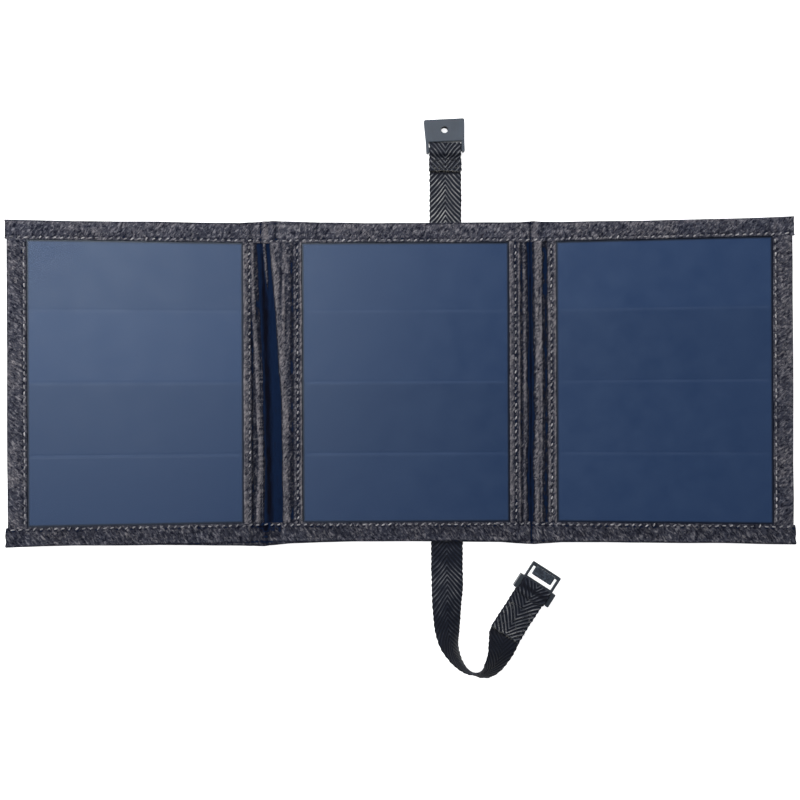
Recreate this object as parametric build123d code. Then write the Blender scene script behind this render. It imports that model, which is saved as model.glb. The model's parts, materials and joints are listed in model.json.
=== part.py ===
from build123d import *
import os

# Three-panel folding solar charger: sewn panels, slack gutters that fold like book spines, a latch strap and a
# USB regulator box. Everything is laid out flat, and the wings are then lifted to their rest angle.

# ---- driving dimensions, in millimetres ----
BODY_HEIGHT = 194.5  # along Y, over the edge tapes
TAPE_LEG = 11.5  # how far the edge tape covers a face
TAPE = 0.6  # thickness of the edge tape
WINDOWS = {"left": (-226.3, -99.3), "middle": (-63.5, 63.5), "right": (92.1, 219.1)}  # bare laminate
CORES = {"left": (-237.2, -95.0), "middle": (-69.4, 67.6), "right": (87.1, 230.0)}  # stiff part
CELL_LONG, CELL_SHORT, CELL_PITCH, CELLS = 125.0, 41.5, 43.7, 4
FOLD_X = {"left": (-83.6, -93.7), "right": (74.3, 80.5)}  # inner and outer fold line of each gutter
LIFT = 2.5  # degrees that each fold line stands open at rest

# heights of the layers, from the resting face up
STRAP = 1.2
TAPE_LOW = STRAP
FABRIC_LOW = TAPE_LOW + TAPE
BOARD_LOW, BOARD_HIGH = 2.2, 3.2
CELL_LOW, CELL_HIGH = 3.4, 3.6
FILM_HIGH = 3.9
TAPE_HIGH = FILM_HIGH + TAPE
FOLD_Z = 2.3  # the fold lines run in the middle of the gutter cloth
WEB = 0.8  # thickness of the doubled gutter cloth
WEB_LOW, WEB_HIGH = FOLD_Z - WEB / 2, FOLD_Z + WEB / 2
WEB_GAP = 0.6  # from a fold line to the cloth sewn to a panel
SPINE_GAP = 0.15  # from a fold line to the cloth between two fold lines
TAPE_GAP = 1.5  # from a fold line to a panel's edge tape

HALF = BODY_HEIGHT / 2
CORE_HALF = HALF - TAPE
WINDOW_HALF = HALF - TAPE_LEG

# lead ribbons that join the panels
LEAD_Y, LEAD_WIDE, LEAD_LOW, LEAD_HIGH = 12.0, 5.0, 2.2, 2.4

# strap and its latch
STRAP_X, STRAP_WIDE = 24.9, 19.5
STRAP_ROOT = HALF + 1.3  # fold line where the strap leaves the panel
STRAP_RISE = 17.8  # length that stands up beside the folded panels
STRAP_TURN = STRAP_ROOT + STRAP_RISE
TURN_GAP = 0.75
BAR_THICK, BAR_Z = 1.5, 2.5
BAR_LONG, EAR_BACK, EAR_FRONT = 4.4, 3.0, 6.0  # the buckle's bar, and its ears either side of the bar
SOCKET_BAR_LONG, SOCKET_EAR_BACK, SOCKET_EAR_FRONT = 3.2, 2.0, 5.7
LOOP_INSIDE = 1.3
TOP_DOUBLED, BOTTOM_DOUBLED = 13.0, 31.3  # sewn-back webbing, from its cut end to the bar
TOP_BAR_Y = 143.0
LATCH_WIDE, LATCH_NARROW = 25.0, 23.6
SOCKET_LONG, SOCKET_LOW, SOCKET_HIGH = 12.4, 0.7, 4.3
SOCKET_TILT = 2.5  # degrees that the socket hangs askew on its webbing
NOSE_WIDE, NOSE_LONG, NOSE_THICK = 20.0, 10.5, 1.6
CATCH_BACK, CATCH_RADIUS = 4.0, 1.9  # latch stud, from the nose's end

# tail of the strap, as it lies: points of its middle line, then how far it has rolled over there
TAIL = [
    (25.0, -121.0, 2),
    (25.0, -127.7, 9),
    (24.6, -137.1, 22),
    (24.7, -146.2, 31),
    (25.5, -155.1, 44),
    (27.9, -162.9, 65),
    (31.9, -169.6, 82),
    (35.9, -173.8, 96),
    (39.8, -176.1, 109),
    (44.3, -177.0, 122),
    (48.9, -176.0, 134),
    (53.1, -172.4, 141),
    (56.7, -166.5, 151),
    (59.0, -160.8, 167),
]
TAIL_END = (60.4, -155.4)  # where the doubled webbing starts, flat again
TAIL_TURN = 57.0  # degrees from +X of the doubled webbing

# regulator box on the back of the left wing
BOX_X, BOX_WIDE, BOX_LONG, BOX_WALL = -216.0, 19.6, 70.0, 1.2
PAD_LOW = 1.3
BOX_LOW, BOX_SPLIT = -10.35, -5.0
PCB_LOW, PCB_HIGH = -3.4, -2.2
SCREW_Y = (31.2, -16.5)
USB_WIDE, USB_HIGH, USB_DEEP = 13.2, 5.7, 14.0

parts = {}


def slab(x, y, z):
    """A box between the two values given along each axis."""
    middle = [(a + b) / 2 for a, b in (x, y, z)]
    return Pos(*middle) * Box(*(abs(b - a) for a, b in (x, y, z)))


def rod(x, y, z, radius):
    """An upright cylinder between two heights."""
    return Pos(x, y, (z[0] + z[1]) / 2) * Cylinder(radius, abs(z[1] - z[0]))


def fold_axis(side, which):
    """A gutter's inner (0) or outer (1) fold line, drawn flat. Turning about it lifts the wing."""
    return Axis((FOLD_X[side][which], 0, FOLD_Z), (0, 1 if side == "left" else -1, 0))


def lift(shape, body):
    """Carries a shape drawn flat to where its body is at rest."""
    side, _, piece = body.partition("_")
    if piece == "wing":
        shape = shape.rotate(fold_axis(side, 1), LIFT)
    if piece in ("wing", "spine"):
        shape = shape.rotate(fold_axis(side, 0), LIFT)
    return shape


def add(name, shape, body="middle"):
    parts[name] = lift(shape, body)


# ---- panels ----
def leads(x):
    """The two flat lead ribbons between two places along X."""
    z = (LEAD_LOW, LEAD_HIGH)
    return [slab(x, (y - LEAD_WIDE / 2, y + LEAD_WIDE / 2), z) for y in (-LEAD_Y, LEAD_Y)]


def panel(side):
    """One stiff panel: back cloth, board, encapsulant, cells with their tabs, and the clear front film."""
    body = side if side == "middle" else side + "_wing"
    core = CORES[side]
    y = (-CORE_HALF, CORE_HALF)
    rows = [(i - (CELLS - 1) / 2) * CELL_PITCH for i in range(CELLS)]
    centre = sum(WINDOWS[side]) / 2
    cell_x = (centre - CELL_LONG / 2, centre + CELL_LONG / 2)
    cells = [slab(cell_x, (r - CELL_SHORT / 2, r + CELL_SHORT / 2), (CELL_LOW, CELL_HIGH)) for r in rows]

    tab_long, tab_wide, tab_thick, bus_wide = 9.0, 5.0, 0.1, 2.0
    tab_z = (CELL_LOW - tab_thick, CELL_LOW)
    tabs = []
    for low, high in zip(rows, rows[1:]):
        for x in (-CELL_LONG / 3, 0, CELL_LONG / 3):
            gap = (low + high) / 2
            tab_x = (centre + x - tab_wide / 2, centre + x + tab_wide / 2)
            tabs.append(slab(tab_x, (gap - tab_long / 2, gap + tab_long / 2), tab_z))
    end = rows[-1] + CELL_SHORT / 2 - 1
    for y0 in (end, -end - bus_wide):
        tabs.append(slab(cell_x, (y0, y0 + bus_wide), tab_z))

    lead_x = {"left": (BOX_X - 3, core[1]), "middle": core, "right": (core[0], core[0] + 14)}[side]
    lead = leads(lead_x)
    cloth = slab(core, y, (FABRIC_LOW, BOARD_LOW))
    board = slab(core, y, (BOARD_LOW, BOARD_HIGH)) - lead
    if side == "left":
        cloth -= [rod(BOX_X, y0, (0, 5), 0.6) for y0 in (-LEAD_Y, LEAD_Y)]
    add(side + "_back_cloth", cloth, body)
    add(side + "_board", board, body)
    add(side + "_encapsulant", slab(core, y, (BOARD_HIGH, CELL_LOW)) - tabs, body)
    add(side + "_cells", Compound(cells), body)
    add(side + "_cell_tabs", Compound(tabs + lead), body)
    add(side + "_front_film", slab(core, y, (CELL_HIGH, FILM_HIGH)), body)


# ---- sewn cloth ----
def channel(x, z, up):
    """Edge tape folded round the top (up = 1) or bottom (up = -1) edge, between two heights."""
    outside = slab(x, (up * (HALF - TAPE_LEG), up * HALF), z)
    inside = slab(x, (up * (HALF - TAPE_LEG - 1), up * (HALF - TAPE)), (z[0] + TAPE, z[1] - TAPE))
    return outside - inside


def edge_tapes():
    """The two long tapes, cut at each fold line, and the two short tapes on the outer ends."""
    thick = (TAPE_LOW, TAPE_HIGH)
    thin = (WEB_LOW - TAPE, WEB_HIGH + TAPE)
    over = 0.6  # the long tapes reach past the short ones
    stretches = {
        "left_wing": [(WINDOWS["left"][0] - TAPE_LEG - over, CORES["left"][1], thick)],
        "left_spine": [(FOLD_X["left"][1] + SPINE_GAP, FOLD_X["left"][0] - SPINE_GAP, thin)],
        "middle": [
            (FOLD_X["left"][0] + TAPE_GAP, CORES["middle"][0], thin),
            (*CORES["middle"], thick),
            (CORES["middle"][1], FOLD_X["right"][0] - TAPE_GAP, thin),
        ],
        "right_spine": [(FOLD_X["right"][0] + SPINE_GAP, FOLD_X["right"][1] - SPINE_GAP, thin)],
        "right_wing": [
            (FOLD_X["right"][1] + TAPE_GAP, CORES["right"][0], thin),
            (CORES["right"][0], WINDOWS["right"][1] + TAPE_LEG + over, thick),
        ],
    }
    for body, runs in stretches.items():
        for name, up in (("top", 1), ("bottom", -1)):
            pieces = [channel((x0, x1), z, up) for x0, x1, z in runs]
            tape = pieces[0]
            for piece in pieces[1:]:
                tape += piece
            add(f"{body}_{name}_tape", tape, body)
    for side, out in (("left", -1), ("right", 1)):
        window = WINDOWS[side][0] if side == "left" else WINDOWS[side][1]
        edge = window + out * TAPE_LEG
        y = (-WINDOW_HALF, WINDOW_HALF)
        outside = slab((window, edge), y, thick)
        inside = slab((window - out, edge - out * TAPE), y, (TAPE_LOW + TAPE, TAPE_HIGH - TAPE))
        add(side + "_end_tape", outside - inside, side + "_wing")


def gusset(window_x, core_x, end_x):
    """Gutter cloth sewn to a panel: hemmed on the film, down over the core's edge, flat to a fold line."""
    out = 1 if end_x > core_x else -1
    wall_x = core_x + out * TAPE
    y = (-WINDOW_HALF, WINDOW_HALF)
    cloth = slab((window_x, wall_x), y, (FILM_HIGH, TAPE_HIGH))
    cloth += slab((core_x, wall_x), y, (WEB_LOW, TAPE_HIGH))
    if abs(end_x - wall_x) > 0.1:
        cloth += slab((core_x, end_x), y, (WEB_LOW, WEB_HIGH))
        under_tape = end_x - out * (TAPE_GAP - WEB_GAP)
        cloth += slab((core_x, under_tape), (-CORE_HALF, CORE_HALF), (WEB_LOW, WEB_HIGH))
    return cloth - leads((core_x, end_x))


def gutters():
    left, right = CORES["middle"]
    inner_left, outer_left = FOLD_X["left"]
    inner_right, outer_right = FOLD_X["right"]
    ends = {
        "middle_left": (WINDOWS["middle"][0], left, inner_left + WEB_GAP, "middle"),
        "middle_right": (WINDOWS["middle"][1], right, inner_right - WEB_GAP, "middle"),
        "left_wing": (WINDOWS["left"][1], CORES["left"][1], CORES["left"][1] + TAPE, "left_wing"),
        "right_wing": (WINDOWS["right"][0], CORES["right"][0], outer_right + WEB_GAP, "right_wing"),
    }
    for name, (window_x, core_x, end_x, body) in ends.items():
        add(name + "_gusset", gusset(window_x, core_x, end_x), body)
    for side in ("left", "right"):
        x = (min(FOLD_X[side]) + SPINE_GAP, max(FOLD_X[side]) - SPINE_GAP)
        ribbons = leads(x)
        web = slab(x, (-CORE_HALF, CORE_HALF), (WEB_LOW, WEB_HIGH)) - ribbons
        add(side + "_spine_web", web, side + "_spine")
        add(side + "_spine_leads", Compound(ribbons), side + "_spine")


# ---- strap ----
def strap_loop(doubled, lead, bar_long):
    """Webbing round a latch bar and sewn back on itself, drawn along +X with the bar at the origin."""
    z = BAR_Z
    inside, outside = LOOP_INSIDE, LOOP_INSIDE + STRAP
    front = bar_long / 2 - 0.3
    slope_end = -bar_long / 2 - 0.6
    slope_start = slope_end - 2.8
    outline = Polyline(
        (front, 0),
        (-doubled, 0),
        (-doubled, 2 * STRAP),
        (slope_start, 2 * STRAP),
        (slope_end, z + outside),
        (front, z + outside),
    )
    end = ThreePointArc((front, z + outside), (front + outside, z), (front, 0))
    hole = Polyline(
        (front, STRAP),
        (slope_start + 0.6, STRAP),
        (slope_end + 0.6, z + inside),
        (front, z + inside),
    )
    hole_end = ThreePointArc((front, z + inside), (front + inside, z), (front, STRAP))
    profile = make_face([outline, end]) - make_face([hole, hole_end])
    upright = Plane((0, -STRAP_WIDE / 2, 0), x_dir=(1, 0, 0), z_dir=(0, -1, 0))
    loop = extrude(upright * profile, -STRAP_WIDE)
    if lead > 0:
        loop += slab((-doubled - lead, -doubled), (-STRAP_WIDE / 2, STRAP_WIDE / 2), (0, STRAP))
    return loop


def tail_ribbon():
    """The tail's webbing up to its doubled end: it stands up on edge and rolls over in the bend."""
    start = (STRAP_X, -STRAP_TURN - SPINE_GAP, 0)
    heading = Vector(1, 0, 0).rotate(Axis.Z, TAIL_TURN)
    stations = [start, *TAIL, (*TAIL_END, 180)]
    line = Spline([(x, y, 0) for x, y, _ in stations], tangents=[(0, -1, 0), heading])
    sections = []
    for x, y, roll in stations:
        at = line.tangent_at(line.param_at_point(Vector(x, y, 0)))
        across = Vector(-at.Y, at.X, 0).rotate(Axis((0, 0, 0), at), -roll)
        height = STRAP_WIDE / 2 * abs(across.Z) + STRAP / 2 * (across.X**2 + across.Y**2) ** 0.5
        place = Plane((x, y, height), x_dir=across, z_dir=at)
        sections.append(place * Rectangle(STRAP_WIDE, STRAP))
    return loft(sections, ruled=True)


def strap_pieces():
    side = (STRAP_X - STRAP_WIDE / 2, STRAP_X + STRAP_WIDE / 2)
    thick = (0, STRAP)
    add("strap_back_run", slab(side, (-HALF, HALF), thick))
    rise = (STRAP_ROOT + SPINE_GAP, STRAP_TURN - TURN_GAP)
    add("strap_top_rise", slab(side, rise, thick))
    add("strap_bottom_rise", slab(side, (-rise[0], -rise[1]), thick))
    lead = TOP_BAR_Y - TOP_DOUBLED - STRAP_TURN - SPINE_GAP
    add("strap_top_end", top_place() * strap_loop(TOP_DOUBLED, lead, SOCKET_BAR_LONG))
    add("strap_bottom_tail", tail_ribbon() + tail_place() * strap_loop(BOTTOM_DOUBLED, 0, BAR_LONG))


def top_place(tilt=0):
    """Where the top loop's bar is, with +X of its drawing pointing away from the panel."""
    return Location((STRAP_X, TOP_BAR_Y, 0), (0, 0, 90 + tilt))


def tail_place():
    heading = Vector(1, 0, 0).rotate(Axis.Z, TAIL_TURN)
    bar = Vector(*TAIL_END, 0) + heading * BOTTOM_DOUBLED
    return Location((bar.X, bar.Y, 0), (0, 0, TAIL_TURN))


# ---- latch ----
def latch_ears(back, front, half, bar_long):
    """The end of either latch half that the webbing goes round, with the bar at the origin."""
    opening = STRAP_WIDE / 2 + 0.35
    z = (0.9, 4.1)
    ears = slab((-back, front), (-half, half), z)
    ears -= slab((-back - 1, front - 1.3), (-opening, opening), z)
    ears = fillet(ears.edges().filter_by(Axis.Z).group_by(Axis.X)[0], 0.6)
    bar_z = (BAR_Z - BAR_THICK / 2, BAR_Z + BAR_THICK / 2)
    bar = slab((-bar_long / 2, bar_long / 2), (-half + 1, half - 1), bar_z)
    bar = fillet(bar.edges().filter_by(Axis.Y), 0.6)
    return ears + bar


def socket():
    """The flat pocket that the nose slides into, with a hole through both walls for the latch stud."""
    front = SOCKET_EAR_FRONT - 1.3
    mouth = SOCKET_EAR_FRONT + SOCKET_LONG
    narrow, wide = LATCH_NARROW / 2, LATCH_WIDE / 2
    outline = Polyline((front, -narrow), (mouth, -wide), (mouth, wide), (front, narrow), close=True)
    shell = extrude(Pos(0, 0, SOCKET_LOW) * make_face(outline), SOCKET_HIGH - SOCKET_LOW)
    shell = fillet(shell.edges().filter_by(Axis.Z), 1.0)
    shell = fillet(shell.edges().group_by(Axis.Z)[-1] + shell.edges().group_by(Axis.Z)[0], 0.4)
    depth = NOSE_LONG + 0.7
    room, gap = NOSE_WIDE / 2 + 0.4, NOSE_THICK / 2 + 0.3
    shell -= slab((mouth - depth, mouth + 1), (-room, room), (BAR_Z - gap, BAR_Z + gap))
    shell -= rod(mouth - NOSE_LONG + CATCH_BACK, 0, (0, 6), CATCH_RADIUS + 0.2)
    ears = latch_ears(SOCKET_EAR_BACK, SOCKET_EAR_FRONT, narrow, SOCKET_BAR_LONG)
    return top_place(SOCKET_TILT) * (shell + ears)


def buckle():
    """The nose frame with its U-shaped slot, and the springy tongue inside the slot."""
    tip = EAR_FRONT + NOSE_LONG
    z = (BAR_Z - NOSE_THICK / 2, BAR_Z + NOSE_THICK / 2)
    wide = NOSE_WIDE / 2
    window_x, window_half = (6.8, tip - 1.5), 8.6
    tongue_x, tongue_half, root_gap = (9.2, tip - 1.5), 6.7, 0.15
    nose = slab((EAR_FRONT - 0.5, tip), (-wide, wide), z)
    nose = fillet(nose.edges().filter_by(Axis.Z).group_by(Axis.X)[-1], 0.8)
    nose -= slab(window_x, (-window_half, window_half), (0, 6))
    shoulders = [
        slab((tongue_x[1] - 0.9, tongue_x[1]), (s * (tongue_half + 0.2), s * window_half), z)
        for s in (-1, 1)
    ]
    frame = nose + latch_ears(EAR_BACK, EAR_FRONT, LATCH_WIDE / 2, BAR_LONG)
    for shoulder in shoulders:
        frame += shoulder
    low, high = z[0] + 0.15, z[1] - 0.15
    tongue = slab((tongue_x[0], tongue_x[1] - root_gap), (-tongue_half, tongue_half), (low, high))
    tongue = fillet(tongue.edges().filter_by(Axis.Z).group_by(Axis.X)[0], 0.5)
    tongue += slab((tongue_x[0], tongue_x[0] + 1.6), (-5.5, 5.5), (low, high + 0.4))
    stud = Pos(tip - CATCH_BACK, 0, z[0] - 0.2) * Cone(CATCH_RADIUS - 0.5, CATCH_RADIUS, 0.9)
    return tail_place() * frame, tail_place() * (tongue + stud)


# ---- regulator box ----
def at_box(shape):
    return Pos(BOX_X, 0, 0) * shape


def box_shell(low, high, open_up):
    """Half of the box: a floor with four walls, hollow towards the split line."""
    half_x, half_y = BOX_WIDE / 2, BOX_LONG / 2
    shell = slab((-half_x, half_x), (-half_y, half_y), (low, high))
    shell = fillet(shell.edges().filter_by(Axis.Z), 2.5)
    closed = shell.edges().group_by(Axis.Z)[0 if open_up else -1]
    shell = fillet(closed, 0.9 if open_up else 0.4)
    inside_x, inside_y = half_x - BOX_WALL, half_y - BOX_WALL
    z = (low + BOX_WALL, high + 1) if open_up else (low - 1, high - BOX_WALL)
    hollow = slab((-inside_x, inside_x), (-inside_y, inside_y), z)
    return shell - fillet(hollow.edges().filter_by(Axis.Z), 1.3)


def regulator_box():
    boss, shank, head = 2.2, 0.9, 1.9
    plate_low = PAD_LOW - BOX_WALL
    port_y = -BOX_LONG / 2
    port_half = USB_WIDE / 2 + 0.2
    port_z = (PCB_LOW - USB_HIGH - 0.2, PCB_LOW + 0.1)
    port = slab((-port_half, port_half), (port_y - 1, port_y + 2), port_z)
    wires = [rod(0, y, (PCB_HIGH, LEAD_LOW), 0.5) for y in (-LEAD_Y, LEAD_Y)]
    wire_holes = [rod(0, y, (-1, 2), 0.6) for y in (-LEAD_Y, LEAD_Y)]

    base = box_shell(BOX_SPLIT, PAD_LOW, open_up=False)
    lid = box_shell(BOX_LOW, BOX_SPLIT, open_up=True)
    screws = []
    for y in SCREW_Y:
        base += rod(0, y, (BOX_SPLIT, plate_low), boss)
        lid += rod(0, y, (BOX_LOW + 0.5, BOX_SPLIT), boss + 0.3)
        base -= rod(0, y, (BOX_SPLIT - 1, plate_low - 0.6), shank + 0.02)
        lid -= rod(0, y, (BOX_LOW - 1, BOX_SPLIT + 1), shank + 0.1)
        lid -= rod(0, y, (BOX_LOW - 1, BOX_LOW + 1.5), head + 0.15)
        head_z = (BOX_LOW + 0.3, BOX_LOW + 1.5)
        screw = rod(0, y, head_z, head) + rod(0, y, (head_z[1], plate_low - 0.8), shank)
        screws.append(screw - rod(0, y, (BOX_LOW, BOX_LOW + 0.9), 0.7))
    posts = [rod(x, y, (PCB_HIGH, plate_low + 0.2), 1.2) for x in (-6.4, 6.4) for y in (24, -29)]
    for post in posts:
        base += post
    pipe_at, pipe = (-5.6, 2.0), 1.2
    lid -= rod(*pipe_at, (BOX_LOW - 1, BOX_LOW + 3), pipe + 0.03)
    pcb = slab((-8.2, 8.2), (-33.2, 28.4), (PCB_LOW, PCB_HIGH)) - rod(0, SCREW_Y[1], (-5, 0), boss + 0.4)

    body = "left_wing"
    pad = slab((-8.6, 8.6), (-32, 32), (PAD_LOW, FABRIC_LOW)) - wire_holes
    add("box_foam_pad", at_box(pad), body)
    add("box_base", at_box(base - wire_holes - port), body)
    add("box_lid", at_box(lid - port), body)
    add("box_screws", at_box(Compound(screws)), body)
    add("regulator_board", at_box(pcb), body)
    add("box_wires", at_box(Compound(wires)), body)
    add("status_light", at_box(rod(*pipe_at, (BOX_LOW + 0.05, PCB_LOW - 2.0), pipe)), body)
    add_components(body, port_y)


def add_components(body, port_y):
    """The socket and the parts soldered under the regulator board."""
    shell_x = (-USB_WIDE / 2, USB_WIDE / 2)
    shell_y = (port_y - 0.3, port_y - 0.3 + USB_DEEP)
    shell_z = (PCB_LOW - USB_HIGH, PCB_LOW)
    sheet = 0.35
    shell = slab(shell_x, shell_y, shell_z)
    shell -= slab(
        (shell_x[0] + sheet, shell_x[1] - sheet),
        (shell_y[0] - 1, shell_y[1] - 0.6),
        (shell_z[0] + sheet, shell_z[1] - sheet),
    )
    tongue = slab((-5.55, 5.55), (shell_y[0] + 1.0, shell_y[1] - 0.6), (shell_z[1] - 2.9, shell_z[1] - 1.1))
    add("usb_socket_shell", at_box(shell), body)
    add("usb_socket_tongue", at_box(tongue), body)
    coil = slab((-4, 4), (4.5, 12.5), (PCB_LOW - 4, PCB_LOW))
    add("inductor", at_box(fillet(coil.edges().filter_by(Axis.Z), 1.5)), body)
    cans = [rod(x, 19.5, (PCB_LOW - 5.4, PCB_LOW), 3.15) for x in (-4.2, 4.2)]
    add("capacitors", at_box(Compound(cans)), body)
    chips = [
        slab((-2.5, 2.5), (-8, -2), (PCB_LOW - 1.6, PCB_LOW)),
        slab((3.4, 6.4), (-1, 2), (PCB_LOW - 1.0, PCB_LOW)),
        slab((-6.6, -4.6), (1.4, 2.6), (PCB_LOW - 0.9, PCB_LOW)),
    ]
    add("chips", at_box(Compound(chips)), body)


def build():
    for side in WINDOWS:
        panel(side)
    edge_tapes()
    gutters()
    strap_pieces()
    add("latch_socket", socket())
    frame, tongue = buckle()
    add("buckle_frame", frame)
    add("buckle_tongue", tongue)
    regulator_box()


build()

# the row's origin: under the middle of the whole outline, on the resting face
boxes = [shape.bounding_box() for shape in parts.values()]
outline = [(min(tuple(b.min)[i] for b in boxes), max(tuple(b.max)[i] for b in boxes)) for i in range(3)]
CENTRE = [round(sum(pair) / 2, 1) for pair in outline[:2]]

os.makedirs("parts", exist_ok=True)
for name, shape in parts.items():
    export_step(Pos(-CENTRE[0], -CENTRE[1], 0) * shape, f"parts/{name}.step")
print(len(parts), "nodes, outline", outline, "centre", CENTRE)
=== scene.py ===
"""Looks of the folding solar charger: woven tape, slack gutter cloth, herringbone webbing, embossed film."""

import json
import math

import bmesh
import bpy
import numpy as np
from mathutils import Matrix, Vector


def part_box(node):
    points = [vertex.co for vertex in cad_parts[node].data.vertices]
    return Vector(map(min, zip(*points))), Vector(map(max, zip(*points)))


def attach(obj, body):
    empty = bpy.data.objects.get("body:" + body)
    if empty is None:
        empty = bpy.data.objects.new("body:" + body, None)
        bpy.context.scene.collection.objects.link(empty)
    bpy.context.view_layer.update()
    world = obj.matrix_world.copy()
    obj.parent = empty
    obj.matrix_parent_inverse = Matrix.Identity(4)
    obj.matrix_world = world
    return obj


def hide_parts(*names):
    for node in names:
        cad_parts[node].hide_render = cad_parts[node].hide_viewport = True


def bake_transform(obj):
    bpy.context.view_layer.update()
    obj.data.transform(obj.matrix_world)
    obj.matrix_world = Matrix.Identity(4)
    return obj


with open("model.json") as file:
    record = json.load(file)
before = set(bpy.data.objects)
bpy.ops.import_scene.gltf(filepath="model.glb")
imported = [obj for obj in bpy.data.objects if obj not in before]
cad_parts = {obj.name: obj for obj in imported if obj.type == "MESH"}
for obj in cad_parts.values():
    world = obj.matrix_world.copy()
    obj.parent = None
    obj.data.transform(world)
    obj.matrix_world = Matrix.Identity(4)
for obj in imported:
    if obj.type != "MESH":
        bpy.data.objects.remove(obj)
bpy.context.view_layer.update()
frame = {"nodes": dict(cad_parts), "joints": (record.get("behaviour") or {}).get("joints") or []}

MM = 0.001
COARSE = 1.0

# ---- the flat drawing, in millimetres, as in the CAD ----
HALF, TAPE_LEG, TAPE = 97.25, 11.5, 0.6
WINDOW_HALF = HALF - TAPE_LEG
CORE_HALF = HALF - TAPE
WINDOWS = {"left": (-226.3, -99.3), "middle": (-63.5, 63.5), "right": (92.1, 219.1)}
CORES = {"left": (-237.2, -95.0), "middle": (-69.4, 67.6), "right": (87.1, 230.0)}
CELL_CENTRES = {"left": -162.8, "middle": 0.0, "right": 155.6}
TAPE_ENDS = (-238.35, 231.15)  # of the long tapes
FOLD_X = {"left": (-83.6, -93.7), "right": (74.3, 80.5)}
FOLD_Z, FOLD_SOFT = 2.3, {"left": (2.2, 1.2), "right": (2.2, 2.0)}
SEAM_X = {"left": -88.6, "right": 77.4}  # where two gutter pieces meet, on the spine
CELL_LONG, CELL_PITCH, CELL_GAP = 125.0, 43.7, 2.2
ROW_TONES = {"left": (0.2, 1.0, -0.2, -0.1), "middle": (0.3, 0.1, -0.7, -0.4), "right": (0.8, -0.1, 0.1, 0.2)}
FILM_TOP, TAPE_TOP, TAPE_LOW = 3.9, 4.5, 1.2
STRAP_X, STRAP_WIDE, STRAP_THICK = 24.9, 19.5, 1.2
STRAP_ROOT, STRAP_TURN = HALF + 1.3, HALF + 1.3 + 17.8
BAR_Z, TOP_BAR_Y, LOOP_RADIUS = 2.5, 143.0, 1.9
TOP_DOUBLED, BOTTOM_DOUBLED = 13.0, 31.3
TOP_BAR, BOTTOM_BAR = 3.2, 4.4  # how long each latch bar is along the strap
TOP_NOSE, BOTTOM_NOSE = 4.2, 6.6  # how far past a bar's middle the webbing reaches
BAR_SHADOW_LINE = 0.8  # where a painted shadow line crosses the webbing at the bar's edge, past the bar's middle
TAIL = [
    (25.0, -121.0, 2),
    (25.0, -127.7, 9),
    (24.6, -137.1, 22),
    (24.7, -146.2, 31),
    (25.5, -155.1, 44),
    (27.9, -162.9, 65),
    (31.9, -169.6, 82),
    (35.9, -173.8, 96),
    (39.8, -176.1, 109),
    (44.3, -177.0, 122),
    (48.9, -176.0, 134),
    (53.1, -172.4, 141),
    (56.7, -166.5, 151),
    (59.0, -160.8, 167),
]
TAIL_END, TAIL_TURN = (60.4, -155.4), math.radians(57.0)

low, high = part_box("middle_cells")
SHIFT = np.array([(low[0] + high[0]) / 2, (low[1] + high[1]) / 2, 0.0])
joint = next(j for j in frame["joints"] if j["name"] == "left_inner_fold")
LIFT = math.radians(-joint["range_deg"][0])


# ---- small helpers ----
def smooth(t):
    t = np.clip(t, 0.0, 1.0)
    return t * t * (3 - 2 * t)


def hump(x, centre, width):
    return np.exp(-(((x - centre) / width) ** 2))


TABLE = np.random.default_rng(11).random((256, 256))


def noise(x, y, across, along, seed):
    """Smooth noise from -1 to 1, with lumps about this many millimetres across and along."""
    x, y = np.asarray(x, float) / across + 37.71 * seed, np.asarray(y, float) / along + 91.37 * seed
    i, j = np.floor(x).astype(int), np.floor(y).astype(int)
    fx, fy = smooth(x - i), smooth(y - j)
    at = lambda a, b: TABLE[a % 256, b % 256]
    low_row = at(i, j) * (1 - fx) + at(i + 1, j) * fx
    high_row = at(i, j + 1) * (1 - fx) + at(i + 1, j + 1) * fx
    return 2 * (low_row * (1 - fy) + high_row * fy) - 1


def settle(points):
    """Points of the flat drawing, in millimetres, where they lie at rest, in metres."""
    p = np.array(points, float)
    flat_x = p[:, 0].copy()
    for side, out in (("left", -1), ("right", 1)):
        for which in (1, 0):
            axis, soft = FOLD_X[side][which], FOLD_SOFT[side][which]
            turn = LIFT * smooth(out * (flat_x - axis) / (2 * soft) + 0.5)
            u, w = out * (p[:, 0] - axis), p[:, 2] - FOLD_Z
            keep = turn == 0
            p[:, 0] = np.where(keep, p[:, 0], axis + out * (u * np.cos(turn) - w * np.sin(turn)))
            p[:, 2] = np.where(keep, p[:, 2], FOLD_Z + u * np.sin(turn) + w * np.cos(turn))
    return p * MM + SHIFT


def grid_faces(rows, columns, close_rows=False, close_columns=False):
    """Quads between neighbouring points of a grid whose points are stored row by row."""
    r = np.arange(rows if close_rows else rows - 1)
    c = np.arange(columns if close_columns else columns - 1)
    r, c = np.meshgrid(r, c, indexing="ij")
    r2, c2 = (r + 1) % rows, (c + 1) % columns
    corners = (r * columns + c, r * columns + c2, r2 * columns + c2, r2 * columns + c)
    return np.stack([a.ravel() for a in corners], axis=1)


def sheet_faces(rows, columns):
    """Faces of a closed sheet: a grid of front points, then the same grid of back points, and the rim."""
    count = rows * columns
    quads = grid_faces(rows, columns)
    first, near = np.arange(columns), np.arange(rows) * columns
    rim = []
    for line in (first, first + (rows - 1) * columns, near, near + columns - 1):
        rim.append(np.stack([line[:-1], line[1:], line[1:] + count, line[:-1] + count], axis=1))
    return np.concatenate([quads, quads[:, ::-1] + count, *rim])


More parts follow.
